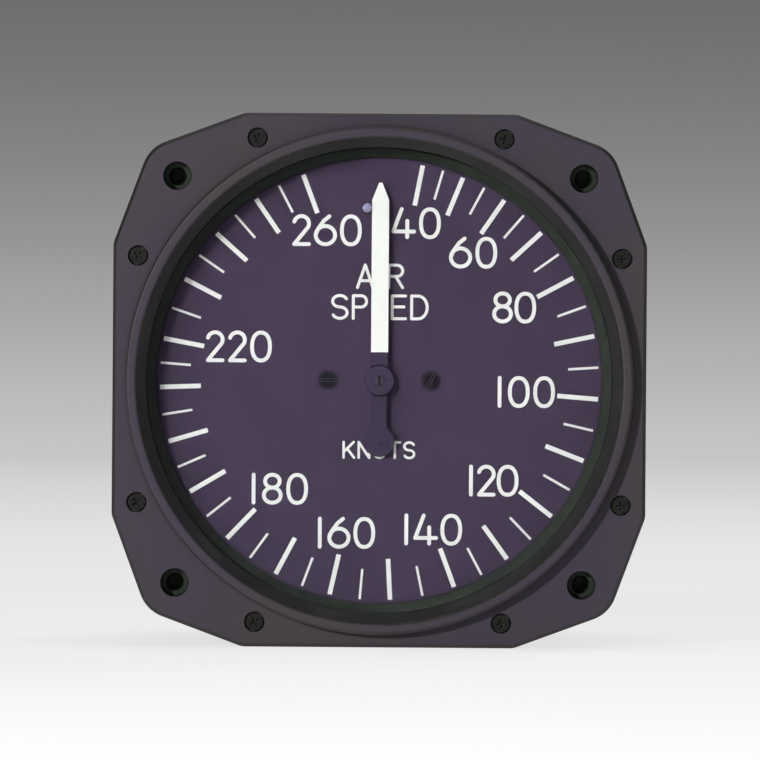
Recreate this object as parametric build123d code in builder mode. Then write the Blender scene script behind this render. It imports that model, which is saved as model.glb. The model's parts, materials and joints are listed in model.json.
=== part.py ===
from build123d import *
from collections import namedtuple
from math import acos, asin, atan2, cos, degrees, pi, radians, sin, sqrt, tan
import os

# Airspeed indicator for a 3-1/8 inch panel hole, in millimetres.
# The pilot looks along +Y at the dial; +X is to the pilot's right and +Z is up.
# The origin is on the dial's axis, in the front face of the square mounting flange.
# A depth is a distance behind that face, so what stands in front of it has a negative depth.

# Raised ring of the bezel, which fills the round hole of the panel from behind
ring_outer_r = 39.2
ring_height = 3.5
ring_crest = 1.6  # width of the ring's front face
ring_slope = 1.5  # how far the funnel narrows behind the crest
ring_round = 0.45
window_land = 0.5  # straight wall at the opening's back
window_lip = 0.6  # depth of the glass's front face

# Square flange, the same outline on the bezel and on the case, 3.25 in across the flats
flange_margin = 2.075  # from the ring to each flat side
flange_flat = 42.0  # straight length of each side
mount_margin = 5.256  # from the ring to each mounting hole's axis, on a 2.475 in square
mount_ear = 1.4  # metal round each mounting nut's head, at the flange's corner
mount_hole_r = 2.2
flange_edge = 0.5  # chamfer round the front edge
flange_blend = 3.0  # round at the ends of the flat sides

# Eight bezel screws, in pairs beside each corner
screw_margin = 2.8  # from the ring to the screws' circle
screw_angle = 27.0
screw_head_r = 1.25
screw_head_h = 1.2
screw_sink = 0.3  # how far each head lies below the flange's face
screw_head_gap = 0.32
screw_shank_r = 0.8
screw_shank_gap = 0.1
screw_thread = 3.0  # engagement in the case
recess_length = 1.5  # cross recess in each head
recess_width = 0.45
recess_depth = 0.7

# Cover glass and its seal
glass_seat = 1.6  # how far the glass reaches under the ring
glass_t = 2.5
glass_gap = 0.2
gasket_t = 0.9
gasket_width = 1.7

# Case
case_step = 0.2  # the barrel's radius beyond the ring's
case_wall = 3.0
case_flange_t = 4.0
case_back_t = 4.0
case_draft = 0.5  # how much smaller the barrel's radius is at its back
case_rear_round = 2.5
case_root_round = 0.7  # between the barrel and the flange
column_r = 3.4  # columns inside the back that carry the movement
column_h = 5.5
port_pitch = 31.75
port_boss_r = 8.0
port_boss_h = 5.0
insert_r = 6.0  # brass inserts for the pitot and static fittings
insert_collar_r = 7.2
insert_collar_t = 0.8
port_bore_r = 4.35  # tapping size for a 1/8 inch taper pipe thread
port_floor = 1.0  # metal left at the port's bottom
static_passage_r = 1.2
nut_barrel_r = 2.9  # closed nuts pressed into the case's flange
nut_bore_r = 1.42  # tapping size for the panel's No. 6 screws
nut_side_gap = 0.85  # between each nut's head and the barrel
nut_head_t = 1.0
nut_cap_r = 2.7
nut_cap_h = 3.0
nut_floor = 1.0

# Ring between the glass and the dial
surround_seat = 1.0  # how far the ring reaches outside the window
surround_taper = 1.4  # how far it narrows towards the dial
surround_depth = 2.8
surround_land = 0.4
seat_gap = 0.1  # clearance round pieces that lie in a seat

# Dial, its screws and the pointer's stop
dial_gap = 0.2  # behind the surround
dial_t = 1.0
dial_edge_gap = 0.4
dial_hole_r = 1.9
dial_screw_pitch = 16.0
stop_pin_r = 0.73
stop_inset = 3.8  # from the pointer's tip circle to the pin's
stop_gap = 0.03
stop_height = 2.1  # above the dial

# Pointer
pointer_height = 1.4  # from the dial's face to the blade's back
pointer_t = 0.4
pointer_short = 4.0  # from the dial's visible edge to the pointer's tip
pointer_width = 2.65
pointer_taper = 2.7
pointer_tip_width = 0.5
pointer_tail_r = 9.45
tail_stem_width = 2.4
tail_disc_r = 2.4
tail_blend = 1.5
pointer_eye_r = 2.2  # round of the blade under the hub's cap
hub_cap_r = 2.3
hub_cap_t = 0.5
hub_r = 1.4
hub_length = 1.9
hub_slot_width = 0.35
hub_slot_depth = 0.3
weight_r = 1.6
weight_t = 0.5
pointer_turn = 350.0  # degrees from the zero stop to full scale

# Gear train
pinion_pitch_r = 1.8
pressure_angle = 20.0
pinion_teeth = 12
sector_full_teeth = 120  # teeth that the sector would have as a whole wheel
sector_margin_teeth = 2  # beyond each end of the travel
sector_addendum = 0.7  # in modules, cut short to clear the small pinion
backlash = 0.06
root_clearance = 0.25  # in modules
pinion_length = 3.0
sector_t = 1.0
sector_rim = 2.0
sector_spoke = 7.0  # degrees of each end spoke
sector_hub_r = 2.6
sector_window_r = 5.5

# Movement frame
plate_margin = 3.0  # plate outside the posts' circle
plate_t = 1.6
dial_to_plate = 5.0
plate_spacing = 10.0
pillar_r = 2.5
pillar_inset = 4.0  # from the plates' edge to the pillars
dial_pillar_r = 1.8
dial_pillar_spigot_r = 1.0
post_r = 2.0
post_angle = 90.0  # of the first of three posts, from +X towards +Z
post_gap = 1.5  # between the capsule's rim and the posts
carrier_t = 2.0
shaft_gap = 0.03  # running clearance of every turning shaft
fit_gap = 0.02  # clearance of pressed and screwed pieces

# Shafts and bearings
staff_r = 0.75
staff_front = 0.1  # how far the staff stands out of the pointer's hub
pivot_r = 0.5
arbor_r = 1.2
journal_r = 0.8
bush_r = 1.6
bush_proud = 0.3  # how far a bush stands out of each side of its plate
end_float = 0.4
pinion_from_plate = 3.4  # from the front plate to the pinion

# Hairspring
collet_r = 1.5
collet_t = 1.2
collet_from_plate = 1.1
spring_half_turns = 7
spring_step = 0.45  # added to the radius at each half turn
spring_strip = 0.15
spring_width = 0.5
stud_r = 0.6

# Rocking shaft and its arms
lever_reach = 7.2  # from the sector's arbor to the finger
lever_length = 8.6
lever_width = 2.0
lever_t = 0.8
lever_from_plate = 1.7
finger_reach = 12.0  # from the rocking shaft to the lever
finger_beyond = 1.0
finger_gap = 0.24  # under the lever at mid travel
arm_reach = 6.0  # from the rocking shaft to the capsule's axis
arm_beyond = 1.0
arm_gap = 0.06  # before the capsule's ball at mid travel
rod_r = 0.6
collar_r = 2.0
collar_width = 2.4
rocking_r = 1.0
rocking_bush_r = 1.9
rocking_right = 5.2  # from the capsule arm to the right cheek
cheek_t = 1.5
cheek_r = 3.2
bracket_t = 1.5
bracket_foot = 4.0
bracket_screw_gap = 0.7  # from a screw's head to the cheek beside it
bracket_foot_low = 13.0  # height of the foot's lower edge over the dial's axis

# Capsule
capsule_r = 21.5
capsule_rim = 1.2
capsule_skin = 0.3
capsule_rise = 3.0  # from the rim to the centre of each half
capsule_waves = 3
capsule_wave_h = 0.8
capsule_boss_r = 4.2
capsule_boss_t = 0.8
capsule_ball_r = 0.8
capsule_post_r = 1.2
capsule_post_length = 5.0
capsule_shoulder_r = 3.2
capsule_shoulder = 2.4
capsule_stem_r = 2.0
capsule_stem_end = 1.2  # solid end beyond the tube
capsule_bore_r = 0.7
capsule_nut_flats = 6.4
capsule_nut_t = 1.5
tube_r = 0.9
tube_wall = 0.3
tube_bend_r = 2.2
tube_drop = 2.7  # from the carrier's back to the tube's axis

# Slotted screws
dial_screw_head_r = 1.3
dial_screw_head_h = 0.6
dial_screw_r = 0.8
dial_screw_slot = 0.35
movement_screw_head_r = 1.8
movement_screw_head_h = 1.0
movement_screw_r = 0.8
movement_screw_slot = 0.4
movement_thread = 3.0
case_screw_head_r = 2.8
case_screw_head_h = 1.8
case_screw_r = 1.4
case_screw_slot = 0.7
washer_r = 3.4
washer_t = 0.6
slot_step = 65.0  # degrees by which each screw is turned from the one before it
SLOT_SHARE = 0.5  # a slot is cut this deep into its head

ScrewSize = namedtuple("ScrewSize", "head_r head_h shank_r slot_width")
dial_screw = ScrewSize(dial_screw_head_r, dial_screw_head_h, dial_screw_r, dial_screw_slot)
movement_screw = ScrewSize(
    movement_screw_head_r, movement_screw_head_h, movement_screw_r, movement_screw_slot
)
case_screw = ScrewSize(case_screw_head_r, case_screw_head_h, case_screw_r, case_screw_slot)

# Radii and widths that follow from the ring's and from the capsule's
window_r = ring_outer_r - ring_crest - ring_slope
case_outer_r = ring_outer_r + case_step
flange_square = 2 * (ring_outer_r + flange_margin)
screw_circle_r = ring_outer_r + screw_margin
mount_circle_r = ring_outer_r + mount_margin
nut_head_r = mount_circle_r - case_outer_r - nut_side_gap
mount_ear_r = nut_head_r + mount_ear
glass_r = window_r + glass_seat
surround_r = window_r + surround_seat
dial_opening_r = window_r - surround_taper
pointer_tip_r = dial_opening_r - pointer_short
stop_circle_r = pointer_tip_r - stop_inset
post_circle_r = capsule_r + post_gap + post_r
plate_r = post_circle_r + plate_margin
pillar_circle_r = plate_r - pillar_inset
column_circle_r = post_circle_r

# Depths, from the front to the back
glass_front = window_lip
glass_back = glass_front + glass_t
case_front = glass_back + gasket_t
flange_back = case_front + case_flange_t
surround_back = case_front + surround_depth
dial_front = surround_back + dial_gap
dial_back = dial_front + dial_t
blade_back = dial_front - pointer_height
blade_front = blade_back - pointer_t
hub_front = blade_front - hub_cap_t
front_plate_front = dial_back + dial_to_plate
front_plate_back = front_plate_front + plate_t
rear_plate_front = front_plate_back + plate_spacing
rear_plate_back = rear_plate_front + plate_t
pinion_front = front_plate_back + pinion_from_plate
pinion_back = pinion_front + pinion_length
sector_front = (pinion_front + pinion_back - sector_t) / 2
collet_front = front_plate_back + collet_from_plate
spring_front = collet_front + (collet_t - spring_width) / 2
lever_front = rear_plate_back + lever_from_plate
lever_back = lever_front + lever_t
rocking_depth = (lever_front + lever_back) / 2 + finger_reach

# Kinematics: the pinion turns the pointer, the finger turns the sector, the capsule turns the finger
gear_ratio = sector_full_teeth / pinion_teeth
module = 2 * pinion_pitch_r / pinion_teeth
sector_swing = pointer_turn / gear_ratio
lever_match = 1.013  # spreads the error of the sliding contact evenly over the travel
rocking_swing = lever_match * sector_swing * lever_reach / finger_reach
capsule_stroke = arm_reach * radians(rocking_swing)
sector_pitch_r = module * sector_full_teeth / 2
centre_distance = pinion_pitch_r + sector_pitch_r
rocking_height = arm_reach
arbor_z = rocking_height + rod_r + finger_gap + lever_width / 2
arbor_x = -sqrt(centre_distance**2 - arbor_z**2)
finger_x = arbor_x + lever_reach
stop_offset = pointer_width / 2 + stop_gap + stop_pin_r

# The capsule's moving end at rest, and all that lies behind it
ball_depth = rocking_depth + rod_r + arm_gap + capsule_ball_r + capsule_stroke / 2
boss_front = ball_depth + capsule_post_length
boss_back = boss_front + capsule_boss_t
capsule_middle = boss_back + capsule_rise + capsule_skin
stem_front = capsule_middle + capsule_rise + capsule_skin
carrier_front = stem_front + capsule_boss_t + capsule_shoulder
carrier_back = carrier_front + carrier_t
tube_depth = carrier_back + tube_drop
stem_back = tube_depth + tube_r + capsule_stem_end
back_inner = carrier_back + column_h
case_back = back_inner + case_back_t
boss_end = case_back + port_boss_h
port_mouth = boss_end + insert_collar_t
case_bore_r = case_outer_r - case_wall
dial_r = case_bore_r - dial_edge_gap

os.makedirs("parts", exist_ok=True)


def face_at(depth):
    """A sketch plane that faces the pilot at this depth: its x is X and its y is Z."""
    return Plane.XZ.offset(-depth)


def side_at(x):
    """A sketch plane seen from the right of the object: its x is Y and its y is Z."""
    return Plane.YZ.offset(x)


def turned(spots, *steps):
    """Round bars along the depth at each spot, as steps of (radius, front, back)."""
    for radius, front, back in steps:
        with BuildSketch(face_at(front)) as rounds:
            with Locations(*spots):
                Circle(radius)
        extrude(rounds.sketch, amount=front - back)


def drilled(spots, *steps):
    """Round holes along the depth at each spot, as steps of (radius, front, back)."""
    for radius, front, back in steps:
        with BuildSketch(face_at(front)) as rounds:
            with Locations(*spots):
                Circle(radius)
        extrude(rounds.sketch, amount=front - back, mode=Mode.SUBTRACT)


def on_circle(radius, count, start):
    """Points evenly spaced on a circle about the dial's axis, in degrees from +X towards +Z."""
    angles = [radians(start + 360 / count * i) for i in range(count)]
    return [(radius * cos(a), radius * sin(a)) for a in angles]


def finish(piece, label):
    """Names a finished piece and writes it."""
    piece.part.label = label
    export_step(piece.part, f"parts/{label}.step")


def slotted_screws(label, seat, spots, size, shank, to_front=True):
    """Cheese-head screws whose heads stand on the seat's depth, on its front or on its back."""
    way = 1 if to_front else -1
    with BuildPart() as screws:
        with BuildSketch(face_at(seat)):
            with Locations(*spots):
                Circle(size.shank_r)
        extrude(amount=-way * shank)
        with BuildSketch(face_at(seat)):
            with Locations(*spots):
                Circle(size.head_r)
        extrude(amount=way * size.head_h)
        with BuildSketch(face_at(seat).offset(way * size.head_h)):
            for i, spot in enumerate(spots):
                with Locations(spot):
                    Rectangle(2 * size.head_r + fit_gap, size.slot_width, rotation=i * slot_step)
        extrude(amount=-way * size.head_h * SLOT_SHARE, mode=Mode.SUBTRACT)
    finish(screws, label)


def ring_slice(inner_r, outer_r, middle, span):
    """A slice of a flat ring about the origin, with its middle and span in degrees."""
    start = middle - span / 2
    with BuildSketch() as flat_slice:
        with BuildLine():
            outer = CenterArc((0, 0), outer_r, start, span)
            inner = CenterArc((0, 0), inner_r, start, span)
            Line(outer @ 0, inner @ 0)
            Line(outer @ 1, inner @ 1)
        make_face()
    return flat_slice.sketch


def gear_tooth(pitch_r, addendum, root_r):
    """One involute tooth about the x axis, from inside the root circle to its tip."""
    base_r = pitch_r * cos(radians(pressure_angle))
    tip_r = pitch_r + addendum
    start_r = max(base_r, root_r)
    half_angle = (pi * module / 2 - backlash / 2) / 2 / pitch_r

    def involute(r):
        roll = acos(min(1, base_r / r))
        return tan(roll) - roll

    def flank(r, side):
        angle = side * (half_angle + involute(pitch_r) - involute(r))
        return (r * cos(angle), r * sin(angle))

    def foot(side):
        x, y = flank(start_r, side)
        inside = (root_r - root_clearance * module) / start_r
        return (x * inside, y * inside)

    radii = [start_r + (tip_r - start_r) * i / 3 for i in range(4)]
    with BuildSketch() as tooth:
        with BuildLine():
            lower = Spline(*[flank(r, -1) for r in radii])
            upper = Spline(*[flank(r, 1) for r in radii])
            ThreePointArc(lower @ 1, (tip_r, 0), upper @ 1)
            Polyline(upper @ 0, foot(1), foot(-1), lower @ 0)
        make_face()
    return tooth.sketch


mount_spots = on_circle(mount_circle_r, 4, 45)
screw_spots = on_circle(screw_circle_r, 4, screw_angle) + on_circle(screw_circle_r, 4, 90 - screw_angle)
port_spots = [(-port_pitch / 2, 0), (port_pitch / 2, 0)]
post_spots = on_circle(post_circle_r, 3, post_angle)
column_spots = on_circle(column_circle_r, 3, post_angle - 60)  # halfway between the posts
pillar_spots = on_circle(pillar_circle_r, 4, 45)
dial_spots = [(-dial_screw_pitch / 2, 0), (dial_screw_pitch / 2, 0)]
axis_spot = [(0, 0)]
arbor_spot = [(arbor_x, arbor_z)]

# The square flange's outline, with cut corners that are rounded about the mounting holes
with BuildSketch() as flange_outline:
    with Locations(*mount_spots):
        Circle(mount_ear_r)
    Rectangle(flange_square, flange_flat)
    Rectangle(flange_flat, flange_square)
    make_hull()
    flat_ends = flange_outline.vertices().filter_by(
        lambda v: max(abs(v.X), abs(v.Y)) > flange_square / 2 - fit_gap
    )
    fillet(flat_ends, flange_blend)

# Bezel: square flange, raised ring, funnel-shaped window and the recess that holds the glass
with BuildPart() as bezel:
    with BuildSketch(face_at(0)):
        add(flange_outline.sketch)
    extrude(amount=-case_front)
    chamfer(bezel.faces().sort_by(Axis.Y)[0].outer_wire().edges(), flange_edge)
    turned(axis_spot, (ring_outer_r, -ring_height, 0))
    with BuildSketch(Plane.XY):
        with BuildLine():
            Polyline(
                (0, -ring_height),
                (window_r + ring_slope, -ring_height),
                (window_r, glass_front - window_land),
                (window_r, glass_front),
                (0, glass_front),
                close=True,
            )
        make_face()
    revolve(axis=Axis.Y, mode=Mode.SUBTRACT)
    fillet(bezel.faces().sort_by(Axis.Y)[0].edges(), ring_round)
    drilled(axis_spot, (glass_r + glass_gap, glass_front, case_front))
    drilled(
        screw_spots,
        (screw_head_r + screw_head_gap, 0, screw_sink + screw_head_h),
        (screw_shank_r + screw_shank_gap, 0, case_front),
    )
    drilled(mount_spots, (mount_hole_r, 0, case_front))
finish(bezel, "bezel")

with BuildPart() as bezel_screws:
    head_front = screw_sink
    head_back = screw_sink + screw_head_h
    turned(
        screw_spots,
        (screw_head_r, head_front, head_back),
        (screw_shank_r, head_back, case_front + screw_thread),
    )
    with BuildSketch(face_at(head_front)):
        for i, spot in enumerate(screw_spots):
            with Locations(spot):
                Rectangle(recess_length, recess_width, rotation=i * slot_step)
                Rectangle(recess_width, recess_length, rotation=i * slot_step)
    extrude(amount=-recess_depth, mode=Mode.SUBTRACT)
finish(bezel_screws, "bezel_screws")

with BuildPart() as cover_glass:
    turned(axis_spot, (glass_r, glass_front, glass_back))
finish(cover_glass, "cover_glass")

with BuildPart() as glass_gasket:
    turned(axis_spot, (glass_r, glass_back, case_front))
    drilled(axis_spot, (glass_r - gasket_width, glass_back, case_front))
finish(glass_gasket, "glass_gasket")

# Black ring with a conical inner face that frames the dial
with BuildPart() as dial_surround:
    with BuildSketch(Plane.XY):
        with BuildLine():
            Polyline(
                (surround_r, case_front),
                (window_r, case_front),
                (dial_opening_r, surround_back - surround_land),
                (dial_opening_r, surround_back),
                (surround_r, surround_back),
                close=True,
            )
        make_face()
    revolve(axis=Axis.Y)
finish(dial_surround, "dial_surround")

# Case: a flanged cup whose back carries the two pressure ports and the movement's columns
with BuildPart() as case:
    with BuildSketch(face_at(case_front)):
        add(flange_outline.sketch)
    extrude(amount=-case_flange_t)
    with BuildSketch(Plane.XY):
        with BuildLine():
            Polyline(
                (0, case_front),
                (case_outer_r, case_front),
                (case_outer_r, flange_back),
                (case_outer_r - case_draft, case_back),
                (0, case_back),
                close=True,
            )
        make_face()
    revolve(axis=Axis.Y)
    fillet(case.faces().sort_by(Axis.Y)[-1].edges(), case_rear_round)
    barrel_root = case.faces().filter_by(Axis.Y).filter_by_position(
        Axis.Y, flange_back - 0.1, flange_back + 0.1
    )
    fillet(barrel_root[0].inner_wires().edges(), case_root_round)
    drilled(
        axis_spot,
        (surround_r + seat_gap, case_front, surround_back),
        (case_bore_r, case_front, back_inner),
    )
    turned(port_spots, (port_boss_r, case_back - case_back_t / 2, boss_end))
    turned(column_spots, (column_r, carrier_back, back_inner + case_back_t / 2))
    drilled(port_spots, (insert_r + fit_gap, back_inner, boss_end))
    drilled(column_spots, (case_screw.shank_r + fit_gap, carrier_back, case_back))
    drilled(screw_spots, (screw_shank_r + fit_gap, case_front, flange_back))
    drilled(mount_spots, (nut_barrel_r + fit_gap, case_front, flange_back))
finish(case, "case")

# Threaded inserts: the pitot line goes on through a tube, the static line opens into the case
for label, spot, passage_r in (
    ("pitot_insert", port_spots[0], tube_r + fit_gap),
    ("static_insert", port_spots[1], static_passage_r),
):
    with BuildPart() as insert:
        turned([spot], (insert_r, back_inner, boss_end), (insert_collar_r, boss_end, port_mouth))
        drilled([spot], (passage_r, back_inner, port_mouth))
        drilled([spot], (port_bore_r, back_inner + port_floor, port_mouth))
    finish(insert, label)

# Closed nuts that take the panel's mounting screws
with BuildPart() as mounting_nuts:
    turned(
        mount_spots,
        (nut_barrel_r, case_front + fit_gap, flange_back),
        (nut_head_r, flange_back, flange_back + nut_head_t),
        (nut_cap_r, flange_back + nut_head_t, flange_back + nut_cap_h),
    )
    drilled(mount_spots, (nut_bore_r, case_front, flange_back + nut_cap_h - nut_floor))
finish(mounting_nuts, "mounting_nuts")

# Dial, its two screws and the pin that stops the pointer at zero
stop_z = sqrt(stop_circle_r**2 - stop_offset**2)
stop_spot = [(-stop_offset, stop_z)]
with BuildPart() as dial_plate:
    turned(axis_spot, (dial_r, dial_front, dial_back))
    drilled(axis_spot, (dial_hole_r, dial_front, dial_back))
    drilled(dial_spots, (dial_screw.shank_r + fit_gap, dial_front, dial_back))
    drilled(stop_spot, (stop_pin_r + fit_gap, dial_front, dial_back))
finish(dial_plate, "dial_plate")

slotted_screws("dial_screws", dial_front, dial_spots, dial_screw, dial_t + movement_thread)

with BuildPart() as stop_pin:
    turned(stop_spot, (stop_pin_r, dial_front - stop_height, dial_back))
finish(stop_pin, "stop_pin")

# Pointer: flat blade with a round tail, riveted between the hub's cap and its collar
with BuildPart() as pointer:
    with BuildSketch(face_at(blade_front)) as blade:
        with BuildLine():
            Polyline(
                (-pointer_width / 2, 0),
                (-pointer_width / 2, pointer_tip_r - pointer_taper),
                (-pointer_tip_width / 2, pointer_tip_r),
                (pointer_tip_width / 2, pointer_tip_r),
                (pointer_width / 2, pointer_tip_r - pointer_taper),
                (pointer_width / 2, 0),
                close=True,
            )
        make_face()
        with Locations((0, -pointer_tail_r / 2)):
            Rectangle(tail_stem_width, pointer_tail_r)
        with Locations((0, -pointer_tail_r)):
            Circle(tail_disc_r)
        inner_corners = blade.vertices().filter_by_position(
            Axis.Z, -pointer_tail_r, -pointer_tail_r + tail_disc_r
        ).filter_by(lambda v: abs(abs(v.X) - tail_stem_width / 2) < 0.01)
        fillet(inner_corners, tail_blend)
        Circle(pointer_eye_r)
        Circle(hub_r + fit_gap, mode=Mode.SUBTRACT)
    extrude(amount=-pointer_t)
finish(pointer, "pointer")

with BuildPart() as pointer_hub:
    turned(
        axis_spot,
        (hub_cap_r, hub_front, blade_front),
        (hub_r, blade_front, blade_front + hub_length),
    )
    drilled(axis_spot, (staff_r + fit_gap, hub_front, blade_front + hub_length))
finish(pointer_hub, "pointer_hub")

with BuildPart() as pointer_weight:
    turned([(0, -pointer_tail_r)], (weight_r, blade_back, blade_back + weight_t))
finish(pointer_weight, "pointer_weight")

# Pointer's staff, with a slot in its front end
staff_front_end = hub_front - staff_front
with BuildPart() as handstaff:
    turned(
        axis_spot,
        (staff_r, staff_front_end, rear_plate_front - end_float),
        (pivot_r, rear_plate_front - end_float, rear_plate_back + bush_proud),
    )
    with BuildSketch(face_at(staff_front_end)):
        Rectangle(hub_slot_width, 2 * staff_r + fit_gap)
    extrude(amount=-hub_slot_depth, mode=Mode.SUBTRACT)
finish(handstaff, "handstaff")

# Pinion and sector, in mesh at rest: a pinion tooth lies in a sector gap on the line of centres
to_arbor = degrees(atan2(arbor_z, arbor_x))
to_pinion = to_arbor - 180
tooth_angle = 360 / sector_full_teeth
pinion_root_r = pinion_pitch_r - module * (1 + root_clearance)
sector_root_r = sector_pitch_r - module * (1 + root_clearance)
pinion_tooth = gear_tooth(pinion_pitch_r, module, pinion_root_r)
sector_tooth = gear_tooth(sector_pitch_r, sector_addendum * module, sector_root_r)

with BuildPart() as pinion:
    with BuildSketch(face_at(pinion_front)):
        Circle(pinion_root_r)
        with PolarLocations(0, pinion_teeth, start_angle=to_arbor):
            add(pinion_tooth)
        Circle(staff_r + fit_gap, mode=Mode.SUBTRACT)
    extrude(amount=-pinion_length)
finish(pinion, "pinion")

travel_teeth = sector_swing / tooth_angle
sector_teeth = round(travel_teeth) + 2 * sector_margin_teeth
first_tooth = to_pinion + tooth_angle * (sector_margin_teeth - 0.5)
sector_span = sector_teeth * tooth_angle
sector_middle = first_tooth + tooth_angle / 2 - sector_span / 2
sector_blank = ring_slice(sector_hub_r / 2, sector_root_r, sector_middle, sector_span)
sector_window = ring_slice(
    sector_window_r, sector_root_r - sector_rim, sector_middle, sector_span - 2 * sector_spoke
)
with BuildPart() as sector_gear:
    with BuildSketch(face_at(sector_front)):
        with Locations((arbor_x, arbor_z)):
            add(sector_blank)
            add(sector_window, mode=Mode.SUBTRACT)
            Circle(sector_hub_r)
            for i in range(sector_teeth):
                add(sector_tooth, rotation=first_tooth - i * tooth_angle)
            Circle(arbor_r + fit_gap, mode=Mode.SUBTRACT)
    extrude(amount=-sector_t)
finish(sector_gear, "sector_gear")

with BuildPart() as sector_arbor:
    turned(
        arbor_spot,
        (pivot_r, front_plate_front - bush_proud, front_plate_back + end_float),
        (arbor_r, front_plate_back + end_float, rear_plate_front - end_float),
        (journal_r, rear_plate_front - end_float, lever_back + end_float),
    )
finish(sector_arbor, "sector_arbor")

# Lever on the back end of the sector's arbor, at the low end of its travel
with BuildPart() as sector_lever:
    with BuildSketch(face_at(lever_front)):
        with Locations(Location((arbor_x, arbor_z, 0), (0, 0, -sector_swing / 2))):
            Rectangle(lever_length, lever_width, align=(Align.MIN, Align.CENTER))
            Circle(sector_hub_r)
            Circle(journal_r + fit_gap, mode=Mode.SUBTRACT)
    extrude(amount=-lever_t)
finish(sector_lever, "sector_lever")

# Hairspring: half circles about two centres in turn, from the collet to the stud
with BuildPart() as hairspring_collet:
    turned(axis_spot, (collet_r, collet_front, collet_front + collet_t))
    drilled(axis_spot, (staff_r + fit_gap, collet_front, collet_front + collet_t))
finish(hairspring_collet, "hairspring_collet")

spring_inner_r = collet_r + fit_gap
with BuildPart() as hairspring:
    with BuildSketch(face_at(spring_front)):
        with BuildLine():
            for turn in range(spring_half_turns):
                centre = (spring_step * (turn % 2), 0)
                radius = spring_inner_r + turn * spring_step
                start = 180 * (turn % 2)
                inner = CenterArc(centre, radius, start, 180)
                outer = CenterArc(centre, radius + spring_strip, start, 180)
                if turn == 0:
                    Line(inner @ 0, outer @ 0)
            Line(inner @ 1, outer @ 1)
        make_face()
    extrude(amount=-spring_width)
finish(hairspring, "hairspring")

spring_end_r = spring_inner_r + (spring_half_turns - 1) * spring_step + spring_strip
stud_spot = [(-spring_end_r - fit_gap - stud_r, 0)]
with BuildPart() as hairspring_stud:
    turned(stud_spot, (stud_r, front_plate_front, collet_front + collet_t))
finish(hairspring_stud, "hairspring_stud")

# Movement frame: two plates on pillars, long posts and the carrier that holds the capsule
thread_r = movement_screw.shank_r + fit_gap
with BuildPart() as front_plate:
    turned(axis_spot, (plate_r, front_plate_front, front_plate_back))
    drilled(axis_spot + arbor_spot, (bush_r + fit_gap, front_plate_front, front_plate_back))
    drilled(pillar_spots, (thread_r, front_plate_front, front_plate_back))
    drilled(dial_spots, (dial_pillar_spigot_r + fit_gap, front_plate_front, front_plate_back))
    drilled(stud_spot, (stud_r + fit_gap, front_plate_front, front_plate_back))
finish(front_plate, "front_plate")

bracket_middle = bracket_foot_low + bracket_foot / 2
left_cheek_x = finger_x + (collar_width + cheek_t) / 2 + end_float
right_cheek_x = rocking_right
cheek_planes = (left_cheek_x, right_cheek_x)
bracket_inset = cheek_t / 2 + movement_screw.head_r + bracket_screw_gap
bracket_screw_spots = [
    (left_cheek_x + bracket_inset, bracket_middle),
    (right_cheek_x - bracket_inset, bracket_middle),
]
with BuildPart() as rear_plate:
    turned(axis_spot, (plate_r, rear_plate_front, rear_plate_back))
    drilled(axis_spot + arbor_spot, (bush_r + fit_gap, rear_plate_front, rear_plate_back))
    drilled(
        pillar_spots + post_spots + bracket_screw_spots,
        (thread_r, rear_plate_front, rear_plate_back),
    )
finish(rear_plate, "rear_plate")

with BuildPart() as plate_pillars:
    turned(pillar_spots, (pillar_r, front_plate_back, rear_plate_front))
    drilled(
        pillar_spots,
        (thread_r, front_plate_back, front_plate_back + movement_thread),
        (thread_r, rear_plate_front - movement_thread, rear_plate_front),
    )
finish(plate_pillars, "plate_pillars")

with BuildPart() as dial_pillars:
    turned(
        dial_spots,
        (dial_pillar_r, dial_back, front_plate_front),
        (dial_pillar_spigot_r, front_plate_front, front_plate_back),
    )
    drilled(dial_spots, (dial_screw.shank_r + fit_gap, dial_back, dial_back + movement_thread))
finish(dial_pillars, "dial_pillars")

with BuildPart() as carrier_posts:
    turned(post_spots, (post_r, rear_plate_back, carrier_front))
    drilled(
        post_spots,
        (thread_r, rear_plate_back, rear_plate_back + movement_thread),
        (thread_r, carrier_front - movement_thread, carrier_front),
    )
finish(carrier_posts, "carrier_posts")

with BuildPart() as capsule_carrier:
    turned(axis_spot, (plate_r, carrier_front, carrier_back))
    drilled(axis_spot, (capsule_stem_r + fit_gap, carrier_front, carrier_back))
    drilled(post_spots, (thread_r, carrier_front, carrier_back))
    drilled(column_spots, (case_screw.shank_r + fit_gap, carrier_front, carrier_back))
finish(capsule_carrier, "capsule_carrier")

slotted_screws(
    "front_pillar_screws", front_plate_front, pillar_spots, movement_screw, plate_t + movement_thread
)
slotted_screws(
    "rear_pillar_screws", rear_plate_back, pillar_spots, movement_screw, plate_t + movement_thread, False
)
slotted_screws(
    "front_post_screws", rear_plate_front, post_spots, movement_screw, plate_t + movement_thread
)
slotted_screws(
    "rear_post_screws", carrier_back, post_spots, movement_screw, carrier_t + movement_thread, False
)
slotted_screws(
    "bracket_screws",
    rear_plate_back + bracket_t,
    bracket_screw_spots,
    movement_screw,
    bracket_t + plate_t,
    False,
)
slotted_screws(
    "case_screws",
    case_back + washer_t,
    column_spots,
    case_screw,
    washer_t + case_back_t + column_h + carrier_t,
    False,
)

with BuildPart() as sealing_washers:
    turned(column_spots, (washer_r, case_back, case_back + washer_t))
    drilled(column_spots, (case_screw.shank_r + fit_gap, case_back, case_back + washer_t))
finish(sealing_washers, "sealing_washers")

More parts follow.
